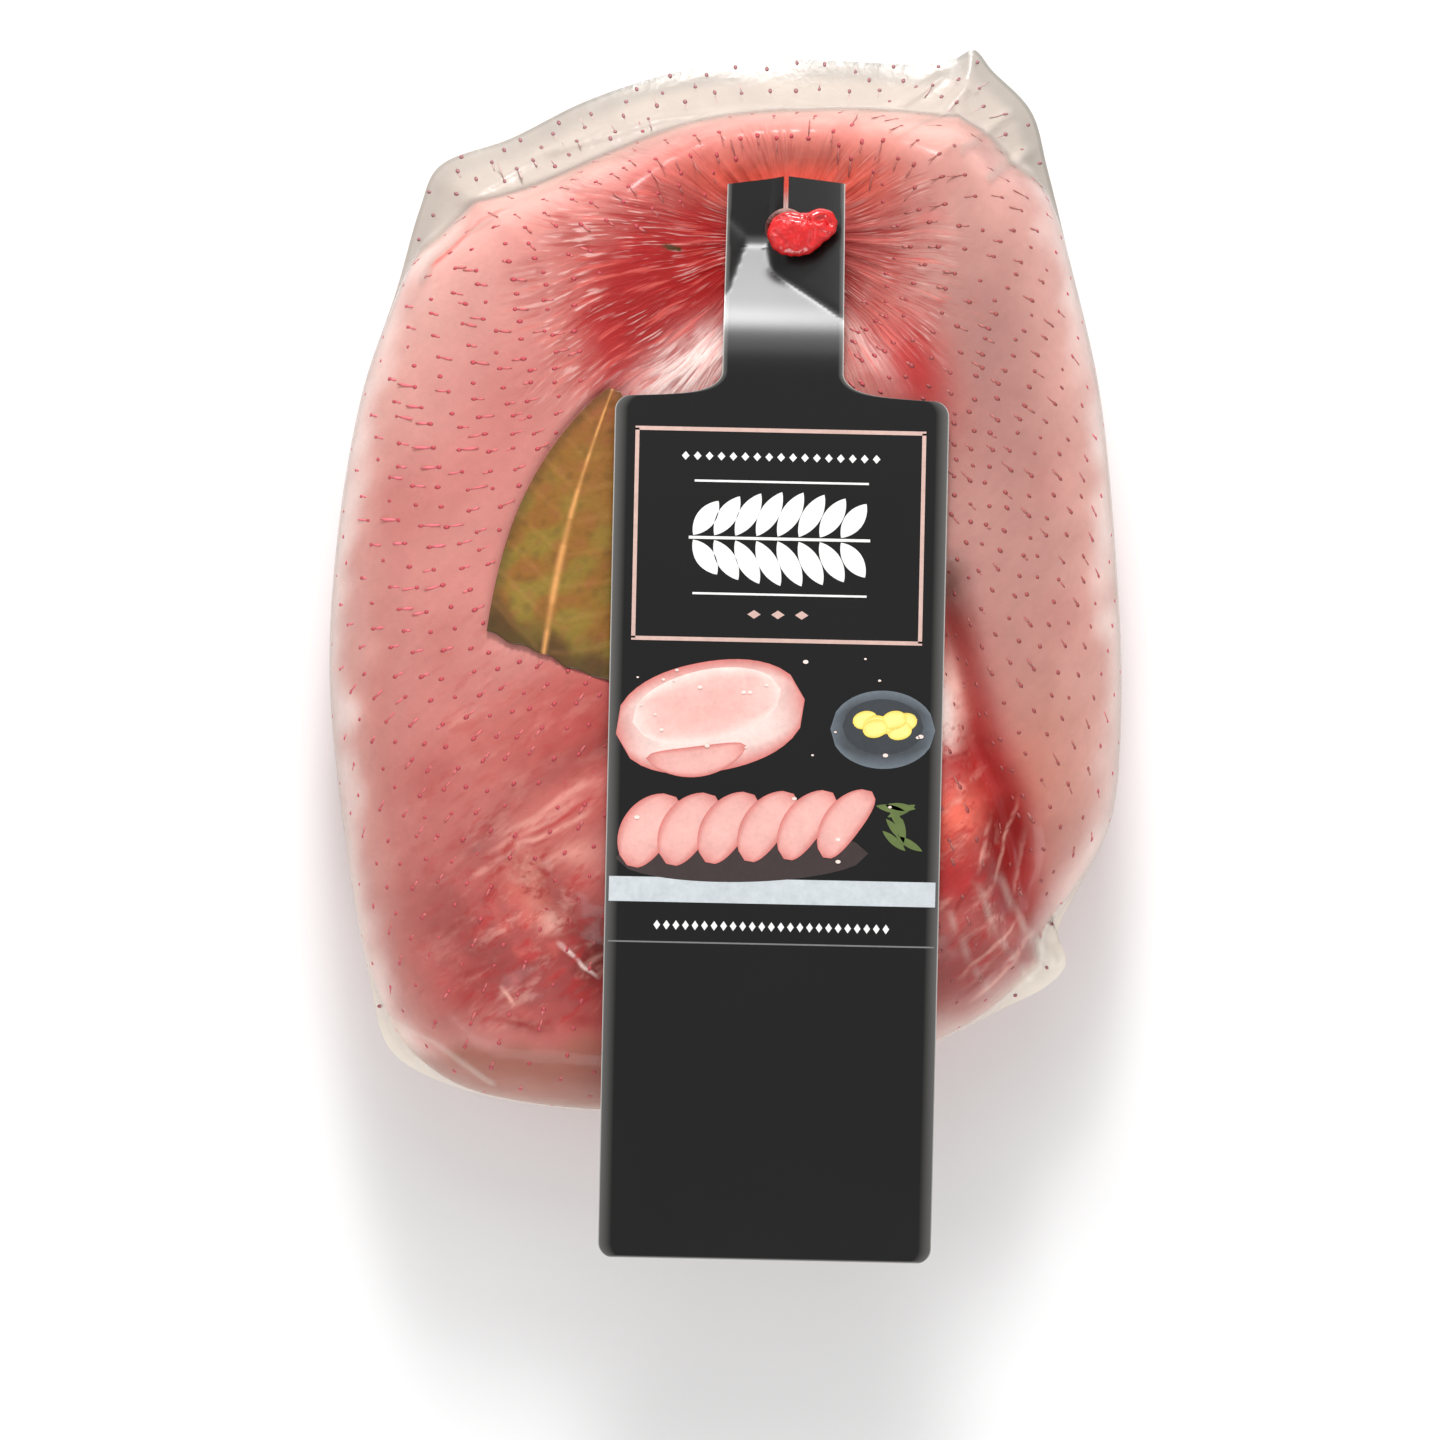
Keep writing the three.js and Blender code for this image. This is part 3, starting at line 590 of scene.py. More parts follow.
# Patches of colour on the shown side, laid over each other in this order: colour, strength,
# middle, half widths, turn in degrees
SKIN_PATCHES = (
    ("blush", 0.5, -62, -28, 6, 7, 0),
    ("blush", 0.55, -48, 52, 10, 22, -20),
    ("blush", 0.8, -22, -16, 22, 10, 24),
    ("blush", 0.6, -52, -50, 16, 18, 20),
    ("pale", 0.4, -58, 66, 18, 26, 0),
    ("shade", 0.2, -58, 66, 14, 20, 0),
    ("shade", 0.75, 56, 62, 13, 30, 0),
    ("shade", 0.35, 58, 10, 10, 26, 0),
    ("blush", 0.5, -50, -22, 12, 9, 30),
    ("flesh", 0.8, 40.5, 56, 6.5, 13, 12),
    ("flesh", 0.7, -40, -70, 24, 10, -8),
    ("mauve", 0.6, -50, -66, 9, 9, 0),
    ("orange", 0.8, -43.1, -48.7, 4.6, 3.6, 20),
    ("fat", 0.4, -43.1, -48.7, 2.6, 2.0, 20),
    ("orange", 0.7, -40.5, -54.4, 3.8, 3.0, -30),
    ("fat", 0.4, -40.5, -54.4, 2.4, 2.0, -30),
    ("fat", 0.8, -36.4, -58.5, 3.0, 2.4, -20),
    ("mauve", 0.85, -54, -60, 15, 17, 20),
    ("dark_red", 0.3, -47, -68, 8, 5, 20),
    ("blush", 0.5, -34, -14, 14, 12, 0),
    ("blush", 0.45, 4, 107, 26, 5, 0),
    ("mauve", 0.7, -38, -72, 18, 7, 0),
    ("blush", 0.8, -32.3, -46.2, 5, 5, 0),
    ("fat", 0.35, -30.5, -44, 4, 3, 20),
    ("mauve", 0.7, -27.5, -56, 5, 3, 0),
    ("dark_flesh", 1.1, -27, -66, 7, 7, 0),
    ("dark_red", 0.6, -30.5, -79.2, 4, 1.4, 0),
    ("dark_flesh", 0.7, -43.6, -80, 2, 1.2, 0),
    ("dark_flesh", 0.6, -40.4, -80.8, 1.3, 1.6, 0),
    ("dark_flesh", 0.5, -37.6, -80.6, 1.2, 1.8, 0),
    ("dark_red", 0.5, -55, -74, 4, 4, 0),
)
# The right of the tag, from the tag's edge to the crevice
CREVICE_PATCHES = (
    ("mauve", 1.0, 52, -67, 17, 13, 30),
    ("flesh", 0.85, 47.5, -48, 6, 5.5, 0),
    ("fat", 1.2, 47.0, -11.5, 3.0, 10, 4),
    # white over the lump of fat beside the tag: painted light that cancels the tag's shadow
    ("white", 1.0, 46.4, -13, 2.4, 8, 4),
    ("flesh", 0.9, 49, -25, 5, 2.2, 0),
    ("orange", 0.8, 49, -36, 5.5, 6.5, -8),
    # dark flesh and dark red deep in the crevice: partly the flesh's colour, partly painted shade
    ("dark_flesh", 0.8, 57.8, -40, 3, 8.5, -14),
    ("dark_red", 1.0, 60.2, -41, 3.4, 8.5, -6),
    ("dark_red", 0.6, 57, -54, 5, 4, 0),
    ("dark_red", 0.6, 65, -65.5, 4.5, 2.6, 35),
)
# Thin marks on the meat: colour, strength, half width in millimetres, from, to
MARKS = (
    ("strand", 1.0, 0.7, (-64, 78.5), (-53, 91.5)),
    ("strand", 0.8, 0.5, (-58, 87), (-44, 94)),
    ("leaf_dark", 1.6, 0.45, (-14, 83.9), (-8.6, 83.5)),
    # along the fold at the lower left: light lines on its ridge are painted highlight, and the flesh and
    # dark red lines below it painted shade
    ("fat", 0.35, 0.9, (-50, -42.0), (-25, -26.5)),
    ("fat", 0.3, 0.7, (-53, -45.5), (-28, -30.5)),
    ("flesh", 0.7, 0.4, (-44, -40.6), (-26, -31.2)),
    ("fat", 0.4, 0.6, (-47, -43.6), (-26, -33.6)),
    ("dark_red", 0.4, 0.5, (-50, -47.4), (-35, -38.4)),
    ("fat", 0.3, 0.6, (-56, -50), (-40, -41.5)),
    ("pale_strand_and_highlight", 0.7, 0.4, (-36.2, -61.6), (-26.7, -71.6)),
    ("fat", 0.6, 0.45, (-47.2, -71.2), (-44.6, -76.6)),
    ("dark_red", 0.5, 0.6, (-39, -62.4), (-28, -61)),
    ("dark_red", 0.4, 0.7, (-58, -71), (-45, -66)),
    ("dark_red", 0.5, 0.6, (-52, -79.2), (-37, -80.8)),
    ("dark_red", 0.35, 0.6, (-61, -62), (-51, -55)),
    ("fat", 0.45, 0.35, (62.3, -31), (56.4, -52)),
    ("fat", 0.45, 0.35, (63.8, -38), (60.6, -54)),
    ("fat", 0.45, 0.45, (56.6, -35), (53, -49)),
    ("mauve", 0.7, 0.6, (64.8, -33), (60.2, -54)),
    ("dark_red", 0.6, 0.6, (55, -45), (48, -58)),
    ("rim", 0.6, 0.6, (67, -55), (55, -70)),
    ("fat", 0.5, 0.5, (69, -58.5), (51, -77)),
    ("fat", 0.4, 0.45, (64, -57), (49, -71)),
    ("dark_red", 0.55, 0.7, (63, -62), (48, -77)),
    ("dark_red", 0.6, 0.6, (45, -23.6), (53, -21.8)),
)


def paint(tone, x, y, palette, patches):
    """Lays each patch's colour over the tones, as strongly as the patch's Gaussian bump."""
    for name, strength, cx, cy, rx, ry, turn in patches:
        tone = blend(tone, palette[name], strength * spot(x, y, cx, cy, rx, ry, turn))
    return tone


def meat_tone(field, palette):
    """Colours of the shown side, laid over each other from the skin up: paler sides, a beige
    right-hand band, blushes, the dark red round the gather, the crevice and the torn lower end."""
    x, y = field.x, field.y
    dx, dy = x - GATHER_X, y - GATHER_Y
    r = np.hypot(dx, dy)
    uneven = plan_noise(x, y, 11, 3)
    fine = plan_noise(x, y, 4.5, 4)
    wide = plan_noise(x, y, 24, 6)
    tone = np.broadcast_to(palette["skin"], (*x.shape, 3)).astype(float)
    tone = blend(tone, palette["beige"], 0.85 * smooth(26, 50, x + 0.2 * y))
    tone = blend(tone, palette["warm"], 0.75 * spot(x, y, 68, -30, 16, 24))
    tone = blend(tone, palette["blush"], 0.8 * smooth(-56, -24, x) * smooth(24, -25, y)
                 * (1 - smooth(20, 40, x)))
    tone = blend(tone, palette["blush"], 0.16 * smooth(0.1, 1.6, wide))
    tone = blend(tone, palette["pale"], 0.2 * smooth(0.1, 1.6, -wide))
    inside = field.inside + 1.5 * uneven
    # paler towards the sides, partly painted rim light, and whitest at the very edge, where the white is a
    # painted rim highlight
    width = 15 + 14 * smooth(30, 80, y) + 5 * smooth(40, 70, x)
    tone = blend(tone, palette["pale"], 0.9 * (1 - smooth(0.05, 1, inside / width)))
    tone = blend(tone, palette["white"], 0.8 * (1 - smooth(0, 8, inside)))
    top = smooth(88, 104, y) * (1 - smooth(38, 56, x))
    tone = blend(tone, palette["cream"], 0.8 * top * (1 - smooth(3, 15, inside)))
    # round the gather: red, wider towards the lower left
    lean = np.maximum((-0.88 * dx - 0.48 * dy) / np.maximum(r, 1), 0)
    reach = 17 + 27 * lean**1.5 + 6 * np.maximum(dx / np.maximum(r, 1), 0)
    near = r + 1.5 * uneven + fine
    tone = blend(tone, palette["blush"], 0.8 * (1 - smooth(0.75, 1.45, near / reach)))
    # above the tag's top: orange, hot red and fat over the pleats' red, lighter than the flesh around as
    # painted light where the ridge keeps the lamps off
    tone = blend(tone, palette["orange"], 1.1 * spot(x, y, 15, 101.5, 18, 7))
    tone = blend(tone, palette["hot"], 1.2 * spot(x, y, 13.5, 99, 15, 4.5))
    tone = blend(tone, palette["fat"], 0.3 * spot(x, y, 13, 106, 18, 4))
    tone = blend(tone, palette["shade"], 0.5 * smooth(88, 101, y) * (1 - smooth(7, 13, inside)))
    zone = np.hypot((x + 5) / 27, (y - 66) / 29) + 0.035 * uneven + 0.02 * fine
    tone = blend(tone, palette["flesh"], 0.95 * (1 - smooth(0.72, 1.12, zone)))
    tone = blend(tone, palette["dark_red"], 1.0 * spot(x, y, -12, 71, 19, 15, -20))
    tone = blend(tone, palette["flesh"], 0.5 * (1 - smooth(10, 19, near)) * smooth(102, 94, y))
    # a blush right of the neck; pale patches beside the neck, a painted highlight of the top lamp on the
    # film's pleats; and pale meat close round the gather
    tone = blend(tone, palette["blush"], 0.9 * spot(x, y, 37, 61, 9, 17, 38))
    pale = spot(x, y, -7.4, 58.2, 15, 5.5, 35) + 0.35 * spot(x, y, 30, 63, 2.5, 12, 40)
    tone = blend(tone, palette["pale_strand_and_highlight"], 1.1 * pale)
    tone = blend(tone, palette["pale_strand_and_highlight"], 0.8 * (1 - smooth(5, 10, r)))
    # the crevice down the right and what lies between it and the tag
    crevice = route_distance(x, y, CREASES[0][0])
    left_of = smooth(62, 44, x + 0.32 * (y + 25)) * smooth(36, 42, x)
    tone = blend(tone, palette["flesh"], left_of * smooth(16, 2, y) * smooth(-70, -48, y) * 0.9)
    low = smooth(14, -2, y)
    spread = 3.4 + 3.2 * spot(x, y, 55, -24, 12, 14)
    tone = blend(tone, palette["flesh"], low * np.exp(-((crevice / spread) ** 2)))
    tone = blend(tone, palette["blush"], 0.8 * low * np.exp(-((crevice / 8) ** 2)))
    # darker towards the crevice's middle: the flesh's own red, with painted shade deep in the crease
    tone = blend(tone, palette["flesh"], low * np.exp(-((crevice / 4.2) ** 2)))
    tone = blend(tone, palette["dark_red"], 0.5 * low * np.exp(-((crevice / 2.4) ** 2)))
    tone = paint(tone, x, y, palette, CREVICE_PATCHES)
    tone = paint(tone, x, y, palette, SKIN_PATCHES)
    tone = blend(tone, palette["rim"], 0.9 * smooth(-78.5, -84, y + 1.2 * uneven - 0.08 * x)
                 * (1 - smooth(30, 50, x)))
    tone = blend(tone, palette["strand"], 0.3 * smooth(0.4, 1.6, fine) * spot(x, y, -42, -62, 16, 14))
    return tone


def pleat_share(x, y):
    """Where the film is drawn into fine pleats, from 0 to 1: round the gather and further out
    towards the lower left and the lower right."""
    dx, dy = x - GATHER_X, y - GATHER_Y
    r = np.maximum(np.hypot(dx, dy), 1)
    lean = np.maximum((-0.88 * dx - 0.48 * dy) / r, 0)
    right = np.maximum((0.75 * dx - 0.66 * dy) / r, 0)
    reach = 22 + 40 * lean**2 + 20 * right**2 + 3 * plan_noise(x, y, 14, 5)
    above = 1 - 0.8 * spot(x, y, 13.5, 101, 22, 7)
    return smooth(5, 9, r) * (1 - smooth(0.7, 1.15, r / reach)) * above


def raw_share(field):
    """Where the meat is torn or cut rather than skin, from 0 to 1: the lower left end and what
    lies left of the crevice."""
    x, y = field.x, field.y
    low_left = smooth(-34, -44, y + 0.55 * (x + 40)) * smooth(-62, -48, x) * smooth(-83, -78, y)
    right = smooth(60, 50, x + 0.25 * (y + 30)) * smooth(36, 42, x) * smooth(-80, -62, y)
    above = 0.4 * smooth(20, -20, y) * smooth(-76, -56, x) * smooth(-80, -74, y)
    left = np.maximum(low_left, above) * smooth(10, 0, x)
    return np.clip(left + right * smooth(0, -20, y), 0, 1)


def under_tone(field, palette):
    """Colours of the underside: skin, paler at the sides and blushed in blotches."""
    x, y = field.x, field.y
    tone = np.broadcast_to(palette["skin"], (*x.shape, 3)).astype(float)
    tone = blend(tone, palette["blush"], 0.5 * smooth(0.2, 1.6, plan_noise(x, y, 22, 12)))
    tone = blend(tone, palette["rim"], 0.85 * smooth(-79, -87, y))
    return blend(tone, palette["pale"], 0.75 * (1 - smooth(1, 18, field.inside)))


# Pricks in the casing

def prick_places():
    """Plan points of the pricks on one side, in staggered lines that run from the outline to the
    gather. Lines stop where they would come closer together than the spacing allows."""
    rng = np.random.default_rng(11)
    lines = 112
    ex, ey = column_edge(lines * 4)
    ex, ey = ex[::4], ey[::4]
    reach = np.hypot(ex - GATHER_X, ey - GATHER_Y)
    rings = 34
    order = np.arange(lines)
    places = []
    for k in range(rings):
        back = 1.2 + 6.1 * (k + 0.5 * (order % 2)) + rng.normal(0, 0.5, lines)
        t = 1 - back / reach
        gap = np.hypot(np.roll(ex, -1) - ex, np.roll(ey, -1) - ey) * t
        keep = (t * reach > 19) & ((gap > 3.3) | ((gap > 1.6) & (order % 2 == 0)) | (order % 4 == 0))
        x = lerp(GATHER_X, ex, t) + rng.normal(0, 0.35, lines)
        y = lerp(GATHER_Y, ey, t) + rng.normal(0, 0.35, lines)
        places.append(np.stack([x, y], axis=1)[keep])
    return np.concatenate(places)


def prick_surface(palette):
    """Each prick is a small lens on the film, many with a thin streak beside it: a ring of eight
    points and two poles, stretched along its line and turned to the film's slope."""
    points, tones = [], []
    for upper in (True, False):
        for lens_points, lens_tones in prick_lenses(palette, upper):
            points.append(lens_points)
            tones.append(lens_tones)
    points, tones = np.concatenate(points), np.concatenate(tones)
    a = 1 + np.arange(8)
    b = 1 + (np.arange(8) + 1) % 8
    fan = np.concatenate([
        np.stack([np.zeros(8, int), a, b], axis=1), np.stack([np.full(8, 9), b, a], axis=1)
    ])
    starts = np.arange(len(points) // 10) * 10
    corners = (starts[:, None, None] + fan[None]).reshape(-1)
    return points, corners, np.full(len(corners) // 3, 3), tones


def prick_lenses(palette, upper):
    """The dots and the streaks of the shown side, or of the underside with its faces turned."""
    rng = np.random.default_rng(12 if upper else 13)
    x, y = prick_places().T
    step = 0.4
    shifts = [Field(x, y), Field(x + step, y), Field(x, y + step)]
    if upper:
        pleated = np.hypot((x + 4) / 25, (y - 68) / 27) < 0.92
        keep = (shifts[0].depth > 0.5) & (leaf_mask(x, y) < 0.5) & ~pleated
        on_meat = shifts[0].inside > 0.5
        z, zx, zy = (np.where(on_meat, f.meat_top(), f.film_top()) for f in shifts)
        facing = 1
    else:
        z, zx, zy = (np.minimum(f.film_under(), f.meat_under()) for f in shifts)
        keep = (shifts[0].depth > 1.5) & (z > 2.5)
        facing = -1
    normal = facing * np.stack([-(zx - z) / step, -(zy - z) / step, np.ones_like(z)], axis=1)
    normal /= np.linalg.norm(normal, axis=1, keepdims=True)
    # square to the outline near it, and towards the gather further in
    out = np.stack([shifts[0].depth - shifts[1].depth, shifts[0].depth - shifts[2].depth], axis=1)
    out /= np.maximum(np.linalg.norm(out, axis=1, keepdims=True), 1e-6)
    away = np.stack([x - GATHER_X, y - GATHER_Y], axis=1)
    away /= np.maximum(np.linalg.norm(away, axis=1, keepdims=True), 1e-6)
    inward = np.maximum(0.75 * smooth(6, 45, shifts[0].depth), 0.85 * smooth(20, 50, x))
    inward = np.maximum(inward, 0.8 * smooth(15, -25, y)) * smooth(1, 6, shifts[0].depth)
    line = lerp(out, away, inward[:, None])
    line = np.concatenate([line, np.zeros((len(x), 1))], axis=1)
    line -= (line * normal).sum(1, keepdims=True) * normal
    line /= np.linalg.norm(line, axis=1, keepdims=True)
    side = np.cross(normal, line)
    base = np.stack([x, y, z], axis=1)
    empty = 1 - smooth(-1.5, 2.5, shifts[0].inside)
    around = np.arange(8) * math.pi / 4
    count = len(x)
    dark = blend(np.broadcast_to(palette["prick"], (count, 3)), palette["prick_pale"], empty)
    faint = blend(np.broadcast_to(palette["streak"], (count, 3)), palette["streak_pale"], empty)
    rim = smooth(8, 3, shifts[0].depth) * (1 - empty)
    dark = blend(dark, palette["prick_rim"], 0.9 * rim)
    faint = blend(faint, palette["streak_pink"], 0.8 * rim)
    brown = smooth(25, 45, x) * (1 - empty) * smooth(3, 9, shifts[0].depth)
    dark = blend(dark, palette["prick_brown"], 0.8 * brown)
    faint = blend(faint, palette["streak_brown"], 0.8 * brown)
    faint = blend(faint, palette["streak_brown"], 0.7 * smooth(84, 96, y) * (1 - empty))
    faint = blend(faint, palette["streak_pink"], 0.9 * spot(x, y, -68, 18, 16, 40) * (1 - empty))
    for kind in range(2):
        if kind == 0:
            long, wide, high = rng.uniform(0.45, 0.75, count), rng.uniform(0.36, 0.5, count), 0.1
            centre, tone = base, dark
        else:
            top = smooth(84, 98, y)
            stretch = 1 + 0.9 * spot(x, y, -66, 40, 22, 42) + 0.9 * top
            long = stretch * rng.uniform(0.45, 1.3, count)
            long = np.minimum(long, np.maximum(shifts[0].depth - 1.4, 0.1) / 2)
            wide, high = rng.uniform(0.2, 0.34, count) * (1 - 0.35 * top), 0.04
            keep = keep & (rng.random(count) < 0.45 + 0.3 * spot(x, y, -60, 50, 30, 60) + 0.5 * top)
            keep = keep & (long > 0.4) & (upper | (z > 2.5 + 2 * long))
            away = (long + 0.3) * rng.choice([-1, 1], count, p=[0.7, 0.3])
            centre, tone = base + line * away[:, None], faint
        rim = centre[:, None] + (
            line[:, None] * (long[:, None] * np.cos(around))[..., None]
            + side[:, None] * (wide[:, None] * np.sin(around))[..., None]
        )
        poles = [centre + normal * high, centre - normal * 0.25]
        lens = np.concatenate([poles[0][:, None], rim, poles[1][:, None]], axis=1)[keep]
        yield lens.reshape(-1, 3), np.repeat(tone[keep], 10, axis=0)


# Thin sheets with two faces and walls

def slab(params, quads, surface):
    """A closed slab over a sheet of quads. params are the sheet's points (a, b), equal points are
    joined, surface(a, b, side) places them on the upper (1) or lower (-1) face, and a wall stands
    on every edge that only one quad uses."""
    key = np.round(params, 4)
    unique, inverse = np.unique(key, axis=0, return_inverse=True)
    quads = inverse.reshape(-1)[quads]
    count = len(unique)
    points = np.concatenate([surface(unique[:, 0], unique[:, 1], side) for side in (1, -1)])
    faces, edges = [], []
    for quad in quads.tolist():
        ring = [v for k, v in enumerate(quad) if v != quad[k - 1]]
        if len(ring) > 2:
            faces.append(ring)
            edges += zip(ring, ring[1:] + ring[:1])
    used = set(edges)
    walls = [(b, a, a + count, b + count) for a, b in edges if (b, a) not in used]
    lower = [[v + count for v in reversed(ring)] for ring in faces]
    every = faces + lower + walls
    corners = np.concatenate([np.array(f) for f in every])
    sizes = np.array([len(f) for f in every])
    return points, corners, sizes, unique, len(faces)


def grid_quads(rows, columns, start=0, flip=False):
    """Quads of a grid of points that are numbered row by row."""
    j, i = np.mgrid[0:rows, 0:columns]
    a = start + j * (columns + 1) + i
    quad = np.stack([a, a + 1, a + columns + 2, a + columns + 1], axis=-1).reshape(-1, 4)
    return quad[:, ::-1] if flip else quad


# The leaf

def leaf_surface(palette):
    """A leaf from its torn edge to its tip: the width tapers, the middle line bows, and the
    surface follows the film just under it, with a raised midrib and side veins."""
    rows, columns = 110, 70
    v, u = np.mgrid[0:rows + 1, 0:columns + 1]
    params = np.stack([u / columns, v / rows], axis=-1).reshape(-1, 2)
    base, along, side, length = leaf_frame()

    def plan(u, v):
        across = lerp(-LEAF_LEFT, LEAF_RIGHT, u) * leaf_share(v)
        ragged = 0.5 * np.sin(23 * u + 1) * np.sin(9 * u) * (1 - v) ** 6
        s = length * v - LEAF_SLANT * across * (1 - v) + ragged
        sideways = across - LEAF_BOW * np.sin(math.pi * np.clip(s / length, 0, 1))
        x = base[0] + along[0] * s + side[0] * sideways
        return x, base[1] + along[1] * s + side[1] * sideways, across

    def surface(u, v, face):
        x, y, across = plan(u, v)
        rib, veins = leaf_veins(across, v)
        curl = 0.12 * np.sin(9 * v + 3 * u) - 0.15
        top = Field(x, y).film_top() - 0.35 + curl
        z = top + 0.28 * rib + 0.1 * veins if face > 0 else top - 0.45
        return np.stack([x, y, z], axis=1)

    points, corners, sizes, unique, _ = slab(params, grid_quads(rows, columns), surface)
    u, v = unique.T
    x, y, across = plan(u, v)
    rib, veins = leaf_veins(across, v)
    mottle = plan_noise(x, y, 8, 31)
    blotch = plan_noise(x, y, 4, 33)
    tone = blend(np.broadcast_to(palette["leaf"], (len(u), 3)), palette["leaf_green"],
                 0.85 * smooth(-0.6, 1.2, mottle + 1.4 * (0.5 - v)) * smooth(1.0, 0.3, v))
    tone = blend(tone, palette["leaf_red"], 0.3 * smooth(0.2, 1.4, blotch) + 0.6 * smooth(0.7, 1.0, v))
    tone = blend(tone, palette["leaf_dark"], 0.25 * smooth(0.2, 1.6, -blotch))
    margin = smooth(3.0, 0.2, leaf_inset(across, v))
    tone = blend(tone, palette["leaf_dark"], 0.5 * margin)
    tone = blend(tone, palette["leaf_dark"], 0.85 * smooth(0.15, 0.02, v + 0.03 * mottle))
    tone = blend(tone, palette["leaf_vein"], np.clip(0.95 * rib + 0.07 * veins, 0, 0.9))
    return points, corners, sizes, np.concatenate([tone, tone])


def leaf_veins(across, v):
    """The midrib as a narrow ridge on the middle line, and side veins as ridges that slant
    forwards from it."""
    rib = np.exp(-((across / (0.26 + 0.4 * spot(v, 0, 0.3, 0, 0.3))) ** 2))
    rib = rib * (0.55 + 0.45 * smooth(-0.4, 0.2, np.sin(37 * v) + np.sin(23 * v + 1)))
    slant = 62 * v - 0.55 * np.abs(across)
    veins = (0.5 + 0.5 * np.cos(2 * math.pi * slant / 7.5)) ** 14
    return rib, veins * smooth(0.6, 2.0, np.abs(across))


# The tag

def tag_rows():
    """Rows across the tag as arrays: length along it, half the hole's or slit's width, and half
    the card's width. Corners are quarter circles, and the shoulder is a curve that steepens."""
    angle = np.linspace(0, math.pi / 2, 9)
    foot = [(TAG_CORNER * (1 - math.cos(a)), 0, TAG_HALF - TAG_CORNER * (1 - math.sin(a)))
            for a in angle]
    body = [(s, 0, TAG_HALF)
            for s in np.linspace(TAG_CORNER, TAG_SHOULDER - TAG_CORNER, 61)[1:]]
    head = [(TAG_SHOULDER - TAG_CORNER * (1 - math.sin(a)), 0,
             TAG_HALF - TAG_CORNER * (1 - math.cos(a))) for a in angle[1:]]
    t = np.linspace(0, 1, 25)[1:]
    shoulder = [(TAG_SHOULDER + TAG_RISE * (0.25 * k + 0.75 * k**4), 0,
                 lerp(TAG_HALF - TAG_CORNER, NECK_HALF, 1 - (1 - k) ** 1.5)) for k in t]
    start = TAG_SHOULDER + TAG_RISE

    def neck(s):
        return lerp(NECK_HALF, NECK_TOP_HALF, (s - start) / (TAG_TOP - start))

    below = TAG_HOLE - TAG_HOLE_RADIUS
    slope = [(s, 0, neck(s)) for s in np.linspace(start, below, 40)[1:]]
    last = math.pi - math.asin(TAG_SLIT / TAG_HOLE_RADIUS)
    hole = [(TAG_HOLE - TAG_HOLE_RADIUS * math.cos(a), TAG_HOLE_RADIUS * math.sin(a))
            for a in np.linspace(0, last, 25)[1:]]
    hole = [(s, gap, neck(s)) for s, gap in hole]
    slit = [(s, TAG_SLIT, neck(s)) for s in np.linspace(hole[-1][0], TAG_TOP, 5)[1:]]
    return np.array(foot + body + head + shoulder + slope + hole + slit)


def neck_height(along):
    """The card's height up the neck: a slope that grows by a smooth step, then a straight one."""
    t = np.clip((along - 184) / 18, 0, 1)
    return TAG_HEIGHT - 0.52 * (18 * (t**3 - t**4 / 2) + np.maximum(along - 202, 0))


def tag_height(across, along):
    """The card's middle height: flat on the pack, sloping down to the clip, with a square-law
    droop at its lower end. Left and right of two slanting creases the neck falls less."""
    side = neck_height(202.0) - 0.4 * (along - 202) - 0.35 * (across + 12.4)
    on_side = smooth(0, 2, along - 202 - (across + 12.4) / 0.34) * smooth(198, 202, along)
    base = smooth_max(np.maximum(neck_height(along), side * on_side), TAG_CLIP_HEIGHT, 1)
    base = base - 2.5 * np.maximum(1 - along / 70, 0) ** 2
    crease = 208.8 + (197.7 - 208.8) / (12.7 + 3.8) * (across + 3.8)
    beyond = np.maximum(along - crease, 0)
    flap = np.maximum(neck_height(crease) - 0.15 * beyond, TAG_CLIP_HEIGHT)
    return lerp(base, np.maximum(flap, base), smooth(0, 1.5, beyond) * smooth(-3.8, 0, across))


def tag_place(across, along, lift=0.0):
    """Points on the card's upper face, raised by lift, in the pack's frame."""
    step = 0.5
    slope = (tag_height(across, along + step) - tag_height(across, along - step)) / (2 * step)
    rise = (TAG_THICKNESS / 2 + lift) / np.hypot(1, slope)
    s = along - slope * rise
    c, n = math.cos(TAG_LEAN), math.sin(TAG_LEAN)
    x = TAG_X + across * c + s * n
    return np.stack([x, TAG_Y - across * n + s * c, tag_height(across, along) + rise], axis=1)


def tag_surface():
    """The card: two halves of rows and columns that share the middle line where there is no
    hole, with a fine strip along every edge that stands for the cut edge."""
    rows = tag_rows()
    along, gap, half = rows.T
    columns = np.concatenate([np.linspace(0, 1, 15), [1.0]])
    params, quads, start = [], [], 0
    rim = 0.28
    for sign in (-1, 1):
        share = columns[None, :-1]
        across = lerp(gap[:, None], half[:, None] - rim, share)
        across = np.concatenate([across, half[:, None]], axis=1)
        peak = TAG_PEAK * (1 - across / NECK_TOP_HALF)
        s = along[:, None] + np.where(along[:, None] == TAG_TOP, peak, 0)
        params.append(np.stack([sign * across, s], axis=-1).reshape(-1, 2))
        quads.append(grid_quads(len(rows) - 1, len(columns) - 1, start, flip=sign < 0))
        start += len(params[-1])

    def surface(across, along, side):
        lift = 0 if side > 0 else -TAG_THICKNESS
        return tag_place(across, along, lift)

    points, corners, sizes, unique, count = slab(
        np.concatenate(params), np.concatenate(quads), surface
    )
    across, along = unique.T
    # how far each point is from the card's outline, for the pale cut edge
    outline_half = np.interp(along, rows[:, 0], rows[:, 2])
    rim_mask = smooth(0.35, 0.1, outline_half - np.abs(across))
    rim_mask = np.maximum(rim_mask, smooth(0.35, 0.05, along))
    return points, corners, sizes, np.concatenate([rim_mask, rim_mask]), count


